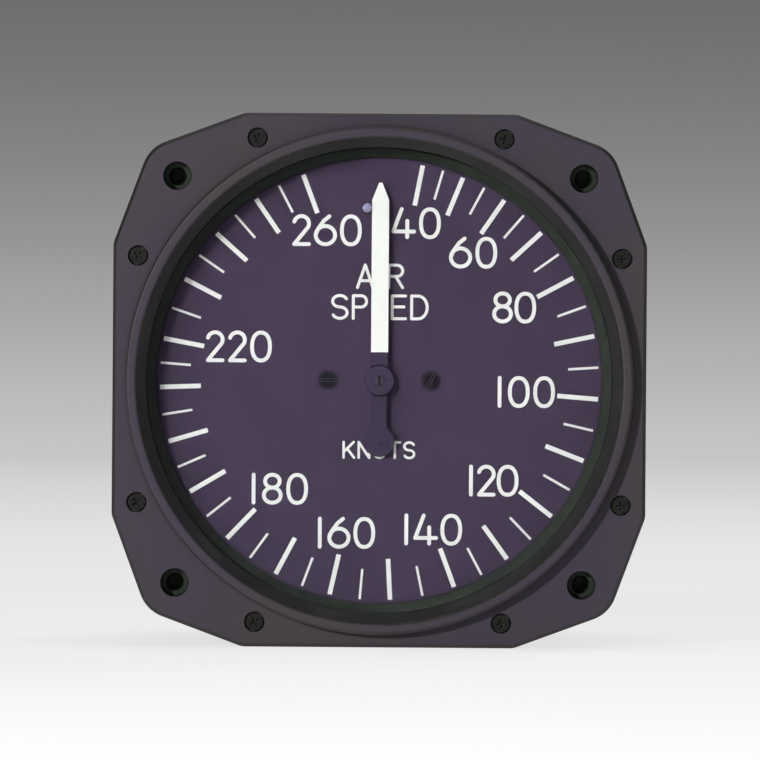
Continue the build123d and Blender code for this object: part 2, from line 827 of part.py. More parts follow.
# Bearings of the staff and of the sector's arbor
with BuildPart() as front_bushes:
    bush_front = front_plate_front - bush_proud
    bush_back = front_plate_back + bush_proud
    turned(axis_spot + arbor_spot, (bush_r, bush_front, bush_back))
    drilled(axis_spot, (staff_r + shaft_gap, bush_front, bush_back))
    drilled(arbor_spot, (pivot_r + shaft_gap, bush_front, bush_back))
finish(front_bushes, "front_bushes")

with BuildPart() as rear_bushes:
    bush_front = rear_plate_front - bush_proud
    bush_back = rear_plate_back + bush_proud
    turned(axis_spot + arbor_spot, (bush_r, bush_front, bush_back))
    drilled(axis_spot, (pivot_r + shaft_gap, bush_front, bush_back))
    drilled(arbor_spot, (journal_r + shaft_gap, bush_front, bush_back))
finish(rear_bushes, "rear_bushes")

# Rocking shaft, at the capsule's contracted end of its travel
rest_tilt = radians(rocking_swing / 2)
shaft_spot = (rocking_depth, rocking_height)
journals = ((left_cheek_x, rocking_r), (right_cheek_x, pivot_r))
with BuildPart() as rocking_bracket:
    for cheek_x in cheek_planes:
        with BuildSketch(side_at(cheek_x - cheek_t / 2)):
            with Locations((rear_plate_back, bracket_foot_low)):
                Rectangle(bracket_t * 2, bracket_foot, align=(Align.MIN, Align.MIN))
            with Locations(shaft_spot):
                Circle(cheek_r)
            make_hull()
        extrude(amount=cheek_t)
    with BuildSketch(side_at(left_cheek_x)):
        with Locations((rear_plate_back, bracket_foot_low)):
            Rectangle(bracket_t, bracket_foot, align=(Align.MIN, Align.MIN))
    extrude(amount=right_cheek_x - left_cheek_x)
    for cheek_x in cheek_planes:
        with BuildSketch(side_at(cheek_x - cheek_t / 2)):
            with Locations(shaft_spot):
                Circle(rocking_bush_r + fit_gap)
        extrude(amount=cheek_t, mode=Mode.SUBTRACT)
    drilled(bracket_screw_spots, (thread_r, rear_plate_back, rear_plate_back + bracket_t))
finish(rocking_bracket, "rocking_bracket")

with BuildPart() as rocking_bushes:
    for cheek_x, journal in journals:
        with BuildSketch(side_at(cheek_x - cheek_t / 2)):
            with Locations(shaft_spot):
                Circle(rocking_bush_r)
                Circle(journal + shaft_gap, mode=Mode.SUBTRACT)
        extrude(amount=cheek_t)
finish(rocking_bushes, "rocking_bushes")

# The finger's collar stands outside the left cheek, on the shaft's end
shaft_left = finger_x - collar_width / 2
shaft_shoulder = right_cheek_x - cheek_t / 2 - end_float
with BuildPart() as rocking_shaft:
    for shaft_r, shaft_end in ((rocking_r, shaft_shoulder), (pivot_r, right_cheek_x + cheek_t / 2)):
        with BuildSketch(side_at(shaft_left)):
            with Locations(shaft_spot):
                Circle(shaft_r)
        extrude(amount=shaft_end - shaft_left)
finish(rocking_shaft, "rocking_shaft")


def rocking_arm(label, x, direction, reach):
    """A collar on the rocking shaft with a round rod that reaches out along a direction."""
    with BuildPart() as arm:
        with BuildSketch(side_at(x - collar_width / 2)):
            with Locations(shaft_spot):
                Circle(collar_r)
        extrude(amount=collar_width)
        with BuildSketch(Plane((x, *shaft_spot), z_dir=direction)):
            Circle(rod_r)
        extrude(amount=reach)
        with BuildSketch(side_at(x - collar_width / 2)):
            with Locations(shaft_spot):
                Circle(rocking_r + fit_gap)
        extrude(amount=collar_width, mode=Mode.SUBTRACT)
    finish(arm, label)


rocking_arm("finger_arm", finger_x, (0, -cos(rest_tilt), -sin(rest_tilt)), finger_reach + finger_beyond)
rocking_arm("capsule_arm", 0, (0, sin(rest_tilt), -cos(rest_tilt)), arm_reach + arm_beyond)


def capsule_half(label, rim_face, way):
    """A corrugated half from its flat rim to its centre, rising to the front (way -1) or to the back."""
    inner_r = capsule_boss_r - capsule_rim
    flat_r = capsule_r - capsule_rim
    steps = 2 * capsule_waves + 1
    wave_run = (flat_r - capsule_boss_r) / steps
    lift = capsule_rise / steps
    under = [(capsule_r, 0), (flat_r, 0)]
    for i in range(1, steps):
        crest = capsule_wave_h if i % 2 else 0
        under.append((flat_r - i * wave_run, i * lift + crest - capsule_wave_h / 2))
    under += [(capsule_boss_r, capsule_rise), (inner_r, capsule_rise)]
    over = [(r, rise + capsule_skin) for r, rise in reversed(under)]
    with BuildPart() as half:
        with BuildSketch(Plane.XY):
            with BuildLine():
                Polyline([(r, rim_face + way * rise) for r, rise in under + over], close=True)
            make_face()
        revolve(axis=Axis.Y)
    finish(half, label)


# Capsule: two corrugated halves joined at the rim, open to the pitot pressure through its stem
capsule_half("capsule_front_half", capsule_middle, -1)
capsule_half("capsule_rear_half", capsule_middle, 1)

with BuildPart() as capsule_post:
    turned(
        axis_spot,
        (capsule_boss_r, boss_front, boss_back),
        (capsule_post_r, ball_depth + capsule_ball_r, boss_front),
        (capsule_ball_r * 0.8, ball_depth, ball_depth + capsule_ball_r),
    )
    with Locations((0, ball_depth, 0)):
        Sphere(capsule_ball_r)
finish(capsule_post, "capsule_post")

with BuildPart() as capsule_stem:
    turned(
        axis_spot,
        (capsule_boss_r, stem_front, stem_front + capsule_boss_t),
        (capsule_shoulder_r, stem_front + capsule_boss_t, carrier_front),
        (capsule_stem_r, carrier_front, stem_back),
    )
    drilled(axis_spot, (capsule_bore_r, stem_front, tube_depth))
    with BuildSketch(side_at(-capsule_stem_r)):
        with Locations((tube_depth, 0)):
            Circle(tube_r + fit_gap)
    extrude(amount=capsule_stem_r / 2, mode=Mode.SUBTRACT)
    with BuildSketch(side_at(-capsule_stem_r)):
        with Locations((tube_depth, 0)):
            Circle(capsule_bore_r / 2)
    extrude(amount=capsule_stem_r, mode=Mode.SUBTRACT)
finish(capsule_stem, "capsule_stem")

with BuildPart() as capsule_nut:
    with BuildSketch(face_at(carrier_back)):
        RegularPolygon(capsule_nut_flats / 2, 6, major_radius=False)
        Circle(capsule_stem_r + fit_gap, mode=Mode.SUBTRACT)
    extrude(amount=-capsule_nut_t)
finish(capsule_nut, "capsule_nut")

# Bent tube from the pitot port to the capsule's stem
with BuildPart() as pitot_tube:
    with BuildLine(Plane.XY) as tube_line:
        FilletPolyline(
            (-capsule_stem_r / 2 - fit_gap, tube_depth),
            (-port_pitch / 2, tube_depth),
            (-port_pitch / 2, back_inner + port_floor),
            radius=tube_bend_r,
        )
    with BuildSketch(Plane(tube_line.line @ 0, z_dir=tube_line.line % 0)):
        Circle(tube_r)
        Circle(tube_r - tube_wall, mode=Mode.SUBTRACT)
    sweep(path=tube_line.line)
finish(pitot_tube, "pitot_tube")
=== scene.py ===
"""Airspeed indicator: the finishes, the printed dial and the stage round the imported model.

The frame is in metres. The dial faces -Y, its top is +Z and its axis is the Y axis.
"""

import json
import math

import bmesh
import bpy
from bpy.props import FloatProperty, FloatVectorProperty, IntProperty, PointerProperty
from bpy.types import Operator, Panel, PropertyGroup
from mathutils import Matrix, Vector


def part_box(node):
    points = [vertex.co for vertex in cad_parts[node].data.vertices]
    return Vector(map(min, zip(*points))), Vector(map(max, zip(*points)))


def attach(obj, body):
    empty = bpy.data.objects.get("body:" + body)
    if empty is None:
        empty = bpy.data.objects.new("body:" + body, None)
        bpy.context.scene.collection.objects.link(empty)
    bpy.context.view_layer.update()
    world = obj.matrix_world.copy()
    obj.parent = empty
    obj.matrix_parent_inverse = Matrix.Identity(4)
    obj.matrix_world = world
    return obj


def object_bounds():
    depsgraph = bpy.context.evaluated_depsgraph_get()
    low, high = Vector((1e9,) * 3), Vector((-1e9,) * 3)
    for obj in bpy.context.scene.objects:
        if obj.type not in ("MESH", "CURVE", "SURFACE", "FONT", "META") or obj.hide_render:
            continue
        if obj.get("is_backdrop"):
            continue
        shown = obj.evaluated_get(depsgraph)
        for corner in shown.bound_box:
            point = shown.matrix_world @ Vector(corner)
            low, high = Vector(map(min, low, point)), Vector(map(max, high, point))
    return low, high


bl_info = {
    "name": "Airspeed Indicator",
    "version": (1, 0, 0),
    "blender": (4, 5, 0),
    "location": "3D View > Sidebar > Airspeed",
    "description": "Finishes, dial markings and stage for a panel-mounted airspeed indicator",
    "category": "Object",
}

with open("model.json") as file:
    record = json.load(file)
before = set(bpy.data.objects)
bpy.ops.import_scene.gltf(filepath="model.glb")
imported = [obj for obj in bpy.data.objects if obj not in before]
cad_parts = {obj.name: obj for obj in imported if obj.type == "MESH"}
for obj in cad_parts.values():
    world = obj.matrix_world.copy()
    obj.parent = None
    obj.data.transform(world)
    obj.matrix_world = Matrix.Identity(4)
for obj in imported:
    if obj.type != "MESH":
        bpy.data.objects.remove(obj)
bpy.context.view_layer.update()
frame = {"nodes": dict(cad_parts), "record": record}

MM = 0.001
RINGS_PER_METRE = 20 / math.tau  # rings that a Wave texture of scale 1 draws
MIXED_COLOUR = 2  # which output of a Mix node holds the mixed colour

# Clockwise angle from the top of the dial of each ten knots, from 40 to 260.
# The capsule's stroke grows with the square of the speed and the linkage evens it out,
# so the steps widen up to 120 knots and then shrink a little.
SCALE_ANGLES = (
    11.0, 22.0, 34.3, 47.2, 61.7, 77.9, 94.5, 111.1, 127.9, 144.0, 159.7, 176.8,
    192.7, 207.8, 223.6, 239.2, 253.5, 267.9, 280.7, 297.2, 311.7, 325.4, 339.3,
)

# Each printed number, the middle of its place on the dial and the gap between its digits, in mm
NUMBER_PLACES = (
    ("40", 5.53, 24.5, 0.46),
    ("60", 14.42, 19.98, 0.51),
    ("80", 20.87, 11.5, 0.23),
    ("100", 22.84, -1.62, 0.55),
    ("120", 17.88, -15.43, 0.17),
    ("140", 8.53, -23.1, 0.36),
    ("160", -4.94, -23.7, 0.44),
    ("180", -15.35, -16.93, 0.56),
    ("220", -21.88, 5.15, 0.53),
    ("260", -8.32, 23.3, 0.46),
)

# Each word, the middle of its place on the dial, its height, line width and letter gap, in mm
WORD_PLACES = (
    ("AIR", 0.0, 16.2, 3.95, 0.46, 0.75),
    ("SPEED", 0.0, 11.4, 4.0, 0.46, 0.5),
    ("KNOTS", 0.0, -10.8, 2.8, 0.39, 0.33),
)

# Outer width of each character as a share of its outer height
WIDTHS = {
    "0": 0.683, "1": 0.13, "2": 0.59, "4": 0.776, "6": 0.727, "8": 0.65,
    "A": 0.72, "D": 0.72, "E": 0.63, "I": 0.13, "K": 0.72, "N": 0.72, "O": 0.78,
    "P": 0.63, "R": 0.66, "S": 0.68, "T": 0.68,
}

# Greys of the background: of the floor by its place behind the flange in metres, and of the
# backdrop by the slope at which it is seen, both from near or low to far or high
FLOOR_TONES = (
    (-0.34, "#ffffff"), (-0.2, "#f8f8f8"), (0.0, "#f0f0f0"), (0.27, "#e7e7e7"),
    (1.1, "#d7d7d7"), (3.0, "#c6c6c6"), (6.0, "#c1c1c1"),
)
BACKDROP_TONES = (
    (-0.0058, "#c1c1c1"), (0.0, "#b7b7b7"), (0.0077, "#a9a9a9"), (0.018, "#959595"),
    (0.0284, "#858585"), (0.0385, "#787878"), (0.0483, "#6e6e6e"),
)

# The floor turns from lit paper to a plain tone between these two places behind the flange, in
# metres. Before them the tone has this share of its look and this strength.
FADE_START, FADE_END = 0.1, 2.5
NEAR_SHARE, NEAR_STRENGTH = 0.5, 1.62

# How far the photo's camera stood to the side of the dial's axis and above it
CAMERA_OFFSET = (0.1 * MM, 0.085 * MM)

# Pieces of the movement and the ports, by what they are made of
BRASS_PIECES = (
    "pitot_insert", "static_insert", "plate_pillars", "dial_pillars", "carrier_posts",
    "front_bushes", "rear_bushes", "rocking_bushes", "capsule_stem", "capsule_nut",
    "pitot_tube", "hairspring_stud", "hairspring_collet", "pointer_weight", "sector_gear",
    "sector_lever", "capsule_post",
)
STEEL_PIECES = (
    "front_pillar_screws", "rear_pillar_screws", "front_post_screws", "rear_post_screws",
    "bracket_screws", "pinion", "sector_arbor", "rocking_shaft", "finger_arm", "capsule_arm",
)


def linear(hex_colour):
    """Turns an sRGB hex colour into linear red, green and blue."""
    channels = [int(hex_colour[i : i + 2], 16) / 255 for i in (1, 3, 5)]
    return tuple(c / 12.92 if c <= 0.04045 else ((c + 0.055) / 1.055) ** 2.4 for c in channels)


def colour_property(name, description, hex_colour):
    """A colour setting whose default is given as an sRGB hex value."""
    return FloatVectorProperty(
        name=name,
        description=description,
        subtype="COLOR",
        min=0.0,
        max=1.0,
        default=linear(hex_colour),
    )


def length_property(name, description, size_mm):
    """A length setting, in metres, whose default is given in millimetres."""
    return FloatProperty(name=name, description=description, unit="LENGTH", default=size_mm * MM)


def power_property(name, description, watts):
    """The power of a lamp."""
    return FloatProperty(name=name, description=description, unit="POWER", default=watts)


class DialPrint(PropertyGroup):
    """Sizes and colours of what is printed on the dial."""

    tick_outer_r: length_property("Tick outer radius", "Where every tick ends", 34.1)
    major_inner_r: length_property("Major inner radius", "Where ten-knot ticks start", 27.75)
    minor_inner_r: length_property("Minor inner radius", "Where five-knot ticks start", 29.4)
    major_width: length_property("Major width", "Width of a ten-knot tick", 0.72)
    minor_width: length_property("Minor width", "Width of a five-knot tick", 0.38)
    digit_height: length_property("Digit height", "Outer height of the numbers", 4.95)
    digit_stroke: length_property("Digit stroke", "Line width of the numbers", 0.6)
    ink_height: length_property("Ink height", "Thickness of the screen ink", 0.03)
    dial_colour: colour_property("Dial", "Matte dial paint", "#3f3348")
    hub_colour: colour_property("Hub", "Black lacquer on the hub and the tail", "#392f44")
    ink_colour: colour_property("Ink", "White screen ink", "#f2f2ee")
    pointer_colour: colour_property("Pointer", "White pointer paint", "#f6f6f2")
    pointer_split: length_property("Pointer split", "Where its black paint turns white", 4.4)


class BodyFinish(PropertyGroup):
    """Colours of the case, its screws and what shows round the dial."""

    # Painted sheen: the next two paler colours stand in for the sheen of the light in front on
    # faces towards the cabin. The third is the enamel's own black on sides, edges and slopes.
    painted_sheen_grey: colour_property("Enamel", "Enamel faded by the cabin's light", "#474642")
    painted_sheen_violet: colour_property("Aged enamel", "Faded patches that have turned violet", "#42404d")
    enamel_own_black: colour_property("Fresh enamel", "Enamel on sides, edges and slopes", "#2c2e28")
    enamel_sheen: colour_property("Enamel sheen", "Tint of the light it mirrors", "#fbe2ff")
    surround_colour: colour_property("Surround", "Flat black between glass and dial", "#2b3229")
    black_oxide: colour_property("Black oxide", "Blackened screws", "#1c1e16")
    oxide_matte: colour_property("Matte oxide", "Screws of the dial", "#1b1721")
    phosphate: colour_property("Phosphate", "Grey-green coat of the mounting nuts", "#333c30")
    # Painted glint and shade on the screws: the pale rim colour is rubbed steel and also a painted
    # glint on slot edges, and the recess colour is painted shade in deep corners.
    rubbed_edge_and_glint: colour_property("Bare steel", "Where tools rubbed the black off", "#66646c")
    painted_recess_shade: colour_property("Recess", "Deep corners of the screws", "#090a09")
    rubber_colour: colour_property("Rubber", "Seals and washers", "#161617")
    glass_sheen: colour_property("Glass sheen", "What the coating leaves to mirror", "#2c2938")


class MovementFinish(PropertyGroup):
    """Colours of the metals inside the case and at its back, and sizes of their small forms."""

    brass_colour: colour_property("Brass", "Turned brass", "#c9a45c")
    steel_colour: colour_property("Steel", "Polished steel", "#b9b8bf")
    pin_colour: colour_property("Pin", "Stop pin, blued a little by age", "#a9a4c4")
    aluminium_colour: colour_property("Aluminium", "Rolled sheet", "#c4c5c8")
    bronze_colour: colour_property("Bronze", "Beryllium bronze sheet", "#c08a5c")
    port_thread_pitch: length_property("Port pitch", "27 threads to the inch", 0.94)
    port_thread_depth: length_property("Port thread depth", "Crest over root", 0.5)
    nut_thread_pitch: length_property("Nut pitch", "32 threads to the inch", 0.794)
    nut_thread_depth: length_property("Nut thread depth", "Crest over root", 0.25)
    nut_bore_r: length_property("Nut bore radius", "Tapping size of a No. 6 screw", 1.42)
    nut_floor: length_property("Nut floor", "Metal that closes each nut", 1.0)
    thread_steps: IntProperty(name="Thread steps", description="In one turn", default=40)
    rivet_radius: length_property("Rivet radius", "Rivet through the pointer's tail", 0.55)
    rivet_crown: length_property("Rivet crown", "How far the rivet's dome stands up", 0.12)
    staff_radius: length_property("Staff radius", "Staff that carries the pointer", 0.75)


class StageSettings(PropertyGroup):
    """Floor, lamps and camera."""

    floor_radius: length_property("Floor radius", "Radius of the round floor", 6000)
    floor_colour: colour_property("Floor", "Plain pale floor", "#ececec")
    camera_distance: length_property("Camera distance", "To the flange's front face", 1200)
    view_width: length_property("View width", "What the picture spans there", 117.5)
    camera_roll: FloatProperty(
        name="Camera roll",
        description="Turn about its line of sight",
        subtype="ANGLE",
        default=math.radians(0.42),
    )
    key_power: power_property("Key power", "Power of the key lamp", 6.2)
    fill_power: power_property("Fill power", "Power of the fill lamp", 0.5)
    top_power: power_property("Top power", "Power of the lamp over the case", 4.0)
    rear_power: power_property("Rear power", "Power of the lamp behind", 3.5)
    ambient: FloatProperty(name="Ambient", description="Light from all round", default=0.04)


# Materials


def add_node(tree, kind, inputs=None, **settings):
    """Adds a shader node, sets its own settings, and sets or links its inputs."""
    node = tree.nodes.new(kind)
    for name, value in settings.items():
        setattr(node, name, value)
    for name, value in (inputs or {}).items():
        socket = next(s for s in node.inputs if name in (s.identifier, s.name))
        if isinstance(value, bpy.types.NodeSocket):
            tree.links.new(value, socket)
        else:
            socket.default_value = value
    return node


def start_material(name, colour, roughness, metallic=0.0, specular=0.5):
    """A new material: its node tree, the place on the piece in metres, and its shader."""
    material = bpy.data.materials.new(name)
    material.use_nodes = True
    tree = material.node_tree
    tree.nodes.clear()
    place = add_node(tree, "ShaderNodeTexCoord").outputs["Object"]
    shader = add_node(
        tree,
        "ShaderNodeBsdfPrincipled",
        {
            "Base Color": (*colour, 1),
            "Roughness": roughness,
            "Metallic": metallic,
            "Specular IOR Level": specular,
        },
    )
    add_node(tree, "ShaderNodeOutputMaterial", {"Surface": shader.outputs["BSDF"]})
    return material, tree, place, shader


def link_surface(tree, shader, colour, normal, roughness=None):
    """Links what varies over a surface to its shader."""
    tree.links.new(colour, shader.inputs["Base Color"])
    tree.links.new(normal, shader.inputs["Normal"])
    if roughness is not None:
        tree.links.new(roughness, shader.inputs["Roughness"])


def link_output(tree, shader_socket):
    """Makes a material show this shader."""
    output = next(n for n in tree.nodes if n.type == "OUTPUT_MATERIAL")
    tree.links.new(shader_socket, output.inputs["Surface"])


def shade(colour, share):
    """A colour made darker or paler by this share."""
    return tuple(c * share for c in colour)


def per_metre(size_mm):
    """The texture scale at which a pattern repeats about every size_mm."""
    return 1 / (size_mm * MM)


def uneven_level(tree, place, size_mm, low, high, detail=4.0, spread=0.15):
    """A socket whose value drifts between two levels over patches of this size."""
    patches = add_node(
        tree,
        "ShaderNodeTexNoise",
        {"Vector": place, "Scale": per_metre(size_mm), "Detail": detail, "Roughness": 0.6},
    )
    ends = {"From Min": 0.5 - spread, "From Max": 0.5 + spread, "To Min": low, "To Max": high}
    return add_node(
        tree, "ShaderNodeMapRange", {"Value": patches.outputs["Fac"], **ends}
    ).outputs["Result"]


def uneven_colour(tree, place, size_mm, one, other, detail=3.0):
    """A socket whose colour drifts between two colours over patches of this size."""
    share = uneven_level(tree, place, size_mm, 0.0, 1.0, detail, spread=0.14)
    return add_node(
        tree,
        "ShaderNodeMix",
        {"Factor_Float": share, "A_Color": (*one, 1), "B_Color": (*other, 1)},
        data_type="RGBA",
    ).outputs[MIXED_COLOUR]


def grain(tree, place, size_mm, depth_mm, under=None):
    """A socket with the surface's normal, roughened by grains of this size and depth. Real grit
    is too fine to show, so it is drawn about as coarse as a pixel, 0.15 mm."""
    grains = add_node(
        tree, "ShaderNodeTexNoise", {"Vector": place, "Scale": per_metre(size_mm), "Detail": 2.0}
    )
    inputs = {"Height": grains.outputs["Fac"], "Distance": depth_mm * MM}
    if under is not None:
        inputs["Normal"] = under
    return add_node(tree, "ShaderNodeBump", inputs).outputs["Normal"]


def painted_corner_shade(tree, reach_mm, closed, open_level):
    """A mask of painted shade: 0 on open faces, 1 deep in a corner, judged within this reach."""
    open_share = add_node(
        tree, "ShaderNodeAmbientOcclusion", {"Distance": reach_mm * MM}, samples=6
    ).outputs["AO"]
    return add_node(
        tree,
        "ShaderNodeMapRange",
        {"Value": open_share, "From Min": open_level, "From Max": closed},
    ).outputs["Result"]


def edges(tree, width_mm):
    """A socket that is 1 on sharp edges, fades over this width and is 0 on open faces."""
    rounded = add_node(tree, "ShaderNodeBevel", {"Radius": width_mm * MM}, samples=6)
    facing = add_node(tree, "ShaderNodeNewGeometry").outputs["Normal"]
    likeness = add_node(
        tree,
        "ShaderNodeVectorMath",
        {"Vector": rounded.outputs["Normal"], "Vector_001": facing},
        operation="DOT_PRODUCT",
    )
    return add_node(
        tree,
        "ShaderNodeMapRange",
        {"Value": likeness.outputs["Value"], "From Min": 0.999, "From Max": 0.93},
    ).outputs["Result"]


def rings_about_y(tree, place, pitch_mm, depth_mm, round_mm=0.1):
    """The normal of a turned surface: fine rings about its axis, and edges broken this far.
    A lathe leaves rings about 0.05 mm apart, too fine to show, so they are drawn coarser."""
    rounded = add_node(
        tree, "ShaderNodeBevel", {"Radius": round_mm * MM}, samples=6
    ).outputs["Normal"]
    grooves = add_node(
        tree,
        "ShaderNodeTexWave",
        {
            "Vector": place,
            "Scale": per_metre(pitch_mm) / RINGS_PER_METRE,
            "Distortion": 0.6,
            "Detail": 2.0,
            "Detail Scale": 1.5,
        },
        wave_type="RINGS",
        rings_direction="Y",
        wave_profile="SIN",
    ).outputs["Fac"]
    return add_node(
        tree,
        "ShaderNodeBump",
        {"Height": grooves, "Distance": depth_mm * MM, "Normal": rounded},
    ).outputs["Normal"]


def baked_enamel(finish):
    """Black enamel sprayed and baked on a sand casting: satin, with a faint orange peel. Faces
    towards the cabin are painted paler, in patches of warm grey and violet, as the sheen of the
    light in front, and corners are painted dark as shade. The sides, edges and slopes keep their
    black, so each rim reads as a dark line."""
    material, tree, place, shader = start_material(
        "black_enamel_baked_on_casting", finish.painted_sheen_grey, 0.48
    )
    shader.inputs["Specular Tint"].default_value = (*finish.enamel_sheen, 1)
    rounded = add_node(tree, "ShaderNodeBevel", {"Radius": 0.15 * MM}, samples=6)
    facing = add_node(tree, "ShaderNodeSeparateXYZ", {"Vector": rounded.outputs["Normal"]})
    # Painted sheen: faces turned to the front take the paler greys, less in corners painted dark
    # as shade; the rest keeps the enamel's own black.
    painted_front_sheen = add_node(
        tree,
        "ShaderNodeMapRange",
        {"Value": facing.outputs["Y"], "From Min": -0.8, "From Max": -0.97},
    )
    painted_sheen_share = add_node(
        tree,
        "ShaderNodeMath",
        {"Value": painted_front_sheen.outputs["Result"], "Value_001": painted_corner_shade(tree, 0.9, 0.5, 0.85)},
        operation="SUBTRACT",
        use_clamp=True,
    ).outputs["Value"]
    own_black = (*finish.enamel_own_black, 1)
    patches = uneven_colour(tree, place, 24, finish.painted_sheen_violet, finish.painted_sheen_grey)
    colour = add_node(
        tree,
        "ShaderNodeMix",
        {"Factor_Float": painted_sheen_share, "A_Color": own_black, "B_Color": patches},
        data_type="RGBA",
    ).outputs[MIXED_COLOUR]
    peel = grain(tree, place, 0.9, 0.004, rounded.outputs["Normal"])
    normal = grain(tree, place, 0.25, 0.0015, peel)
    link_surface(tree, shader, colour, normal, uneven_level(tree, place, 12, 0.475, 0.5))
    return material


def lacquered(tree, place, colour, patch_mm):
    """A socket with a drifting dark colour, painted black as shade in joints, corners and at
    edges.
    """
    # Painted shade: black in joints, corners and at edges.
    painted_outline_shade = add_node(
        tree,
        "ShaderNodeMath",
        {"Value": painted_corner_shade(tree, 0.45, 0.6, 0.95), "Value_001": edges(tree, 0.16)},
        operation="MAXIMUM",
    ).outputs["Value"]
    drifting = uneven_colour(tree, place, patch_mm, shade(colour, 0.88), colour, 6.0)
    return add_node(
        tree,
        "ShaderNodeMix",
        {"Factor_Float": painted_outline_shade, "A_Color": drifting, "B_Color": (*shade(colour, 0.1), 1)},
        data_type="RGBA",
    ).outputs[MIXED_COLOUR]


def dial_paint(dial):
    """Matte lacquer sprayed on an aluminium dial: aged black that has turned faintly violet."""
    material, tree, place, shader = start_material(
        "matte_lacquer_sprayed_on_dial", dial.dial_colour, 0.72, specular=0.12
    )
    colour = lacquered(tree, place, dial.dial_colour, 5)
    roughness = uneven_level(tree, place, 4, 0.66, 0.78)
    link_surface(tree, shader, colour, grain(tree, place, 0.18, 0.0008), roughness)
    return material


def screen_ink(dial):
    """White ink pressed through a screen: flat, with a slightly thin, grainy body."""
    material, tree, place, shader = start_material("screen_printed_ink", dial.ink_colour, 0.6)
    thin = shade(dial.ink_colour, 0.93)
    colour = uneven_colour(tree, place, 0.5, thin, dial.ink_colour)
    link_surface(tree, shader, colour, grain(tree, place, 0.12, 0.001))
    return material


def pointer_paint(dial):
    """Two coats sprayed on the blade through a mask: white outside, dial black by the hub."""
    material, tree, place, shader = start_material(
        "masked_spray_paint_on_pointer", dial.pointer_colour, 0.7, specular=0.12
    )
    height = add_node(tree, "ShaderNodeSeparateXYZ", {"Vector": place}).outputs["Z"]
    white_side = add_node(
        tree,
        "ShaderNodeMath",
        {"Value": height, "Value_001": dial.pointer_split},
        operation="GREATER_THAN",
    )
    thin = shade(dial.pointer_colour, 0.97)
    white = uneven_colour(tree, place, 2.5, thin, dial.pointer_colour)
    black = lacquered(tree, place, dial.hub_colour, 2.5)
    colour = add_node(
        tree,
        "ShaderNodeMix",
        {"Factor_Float": white_side.outputs["Value"], "A_Color": black, "B_Color": white},
        data_type="RGBA",
    ).outputs[MIXED_COLOUR]
    link_surface(tree, shader, colour, grain(tree, place, 0.2, 0.001))
    return material


def flat_black(finish):
    """Flat black sprayed in the throat of the window: it swallows nearly all light."""
    material, tree, place, shader = start_material(
        "flat_black_sprayed", finish.surround_colour, 0.85, specular=0.25
    )
    dark = shade(finish.surround_colour, 0.75)
    colour = uneven_colour(tree, place, 3, dark, finish.surround_colour)
    link_surface(tree, shader, colour, grain(tree, place, 0.2, 0.001))
    return material


def hub_lacquer(dial):
    """Black lacquer over turned metal on the pointer's hub: satin, with faint turned rings."""
    material, tree, place, shader = start_material(
        "black_lacquer_on_turned_hub", dial.hub_colour, 0.65, specular=0.12
    )
    colour = lacquered(tree, place, dial.hub_colour, 1.5)
    link_surface(tree, shader, colour, rings_about_y(tree, place, 1.005, 0.001))
    return material


def darkened_steel(name, colour, finish, specular=0.2):
    """Steel darkened in a chemical bath: a dull, even, slightly metallic coat. Tools have rubbed
    the rims and recesses, so each head shows thin paler lines, which also stand in as a painted
    glint; deep in the recesses the coat is painted near black as shade."""
    material, tree, place, shader = start_material(name, colour, 0.42, 0.2, specular)
    layers = uneven_colour(tree, place, 0.8, colour, shade(colour, 1.5))
    # Painted shade near black deep in recesses, then pale rims that are rubbed steel and a painted
    # glint.
    for share, laid_on in (
        (painted_corner_shade(tree, 0.5, 0.4, 0.9), finish.painted_recess_shade),
        (edges(tree, 0.07), finish.rubbed_edge_and_glint),
    ):
        layers = add_node(
            tree,
            "ShaderNodeMix",
            {"Factor_Float": share, "A_Color": layers, "B_Color": (*laid_on, 1)},
            data_type="RGBA",
        ).outputs[MIXED_COLOUR]
    roughness = uneven_level(tree, place, 0.6, 0.34, 0.52)
    link_surface(tree, shader, layers, grain(tree, place, 0.15, 0.001), roughness)
    return material


def moulded_rubber(finish):
    """Nitrile rubber pressed in a mould: near black, dull, with a soft bloom."""
    material, tree, place, shader = start_material(
        "moulded_nitrile_rubber", finish.rubber_colour, 0.75
    )
    bloom = tuple(c + 0.012 for c in finish.rubber_colour)
    colour = uneven_colour(tree, place, 2, finish.rubber_colour, bloom)
    link_surface(tree, shader, colour, grain(tree, place, 0.3, 0.004))
    return material


def coated_glass(finish):
    """Float glass with a coating that cuts reflections: clear, with a trace of green in its body.
    Lamps shine through it, so the dial behind is lit as in the open."""
    material, tree, place, shader = start_material(
        "anti_reflection_coated_float_glass", (1, 1, 1), 0.0
    )
    body = uneven_colour(tree, place, 30, linear("#ffffff"), linear("#fcfefd"))
    tree.links.new(body, shader.inputs["Base Color"])
    shader.inputs["IOR"].default_value = 1.52
    shader.inputs["Transmission Weight"].default_value = 1.0
    shader.inputs["Specular Tint"].default_value = (*finish.glass_sheen, 1)
    shadow = add_node(tree, "ShaderNodeLightPath").outputs["Is Shadow Ray"]
    clear = add_node(tree, "ShaderNodeBsdfTransparent", {"Color": (*linear("#fdfefe"), 1)})
    both = add_node(
        tree,
        "ShaderNodeMixShader",
        {"Fac": shadow, "Shader": shader.outputs["BSDF"], "Shader_001": clear.outputs["BSDF"]},
    )
    link_output(tree, both.outputs["Shader"])
    return material


def turned_metal(name, colour, roughness, pitch_mm, depth_mm, round_mm=0.1):
    """Metal turned on a lathe: fine rings about its axis that spread each highlight sideways."""
    material, tree, place, shader = start_material(name, colour, roughness, 1.0)
    uneven = uneven_colour(tree, place, 2.5, shade(colour, 0.85), colour)
    rings = rings_about_y(tree, place, pitch_mm, depth_mm, round_mm)
    dulled = uneven_level(tree, place, 1.5, roughness * 0.8, roughness * 1.3)
    link_surface(tree, shader, uneven, rings, dulled)
    return material


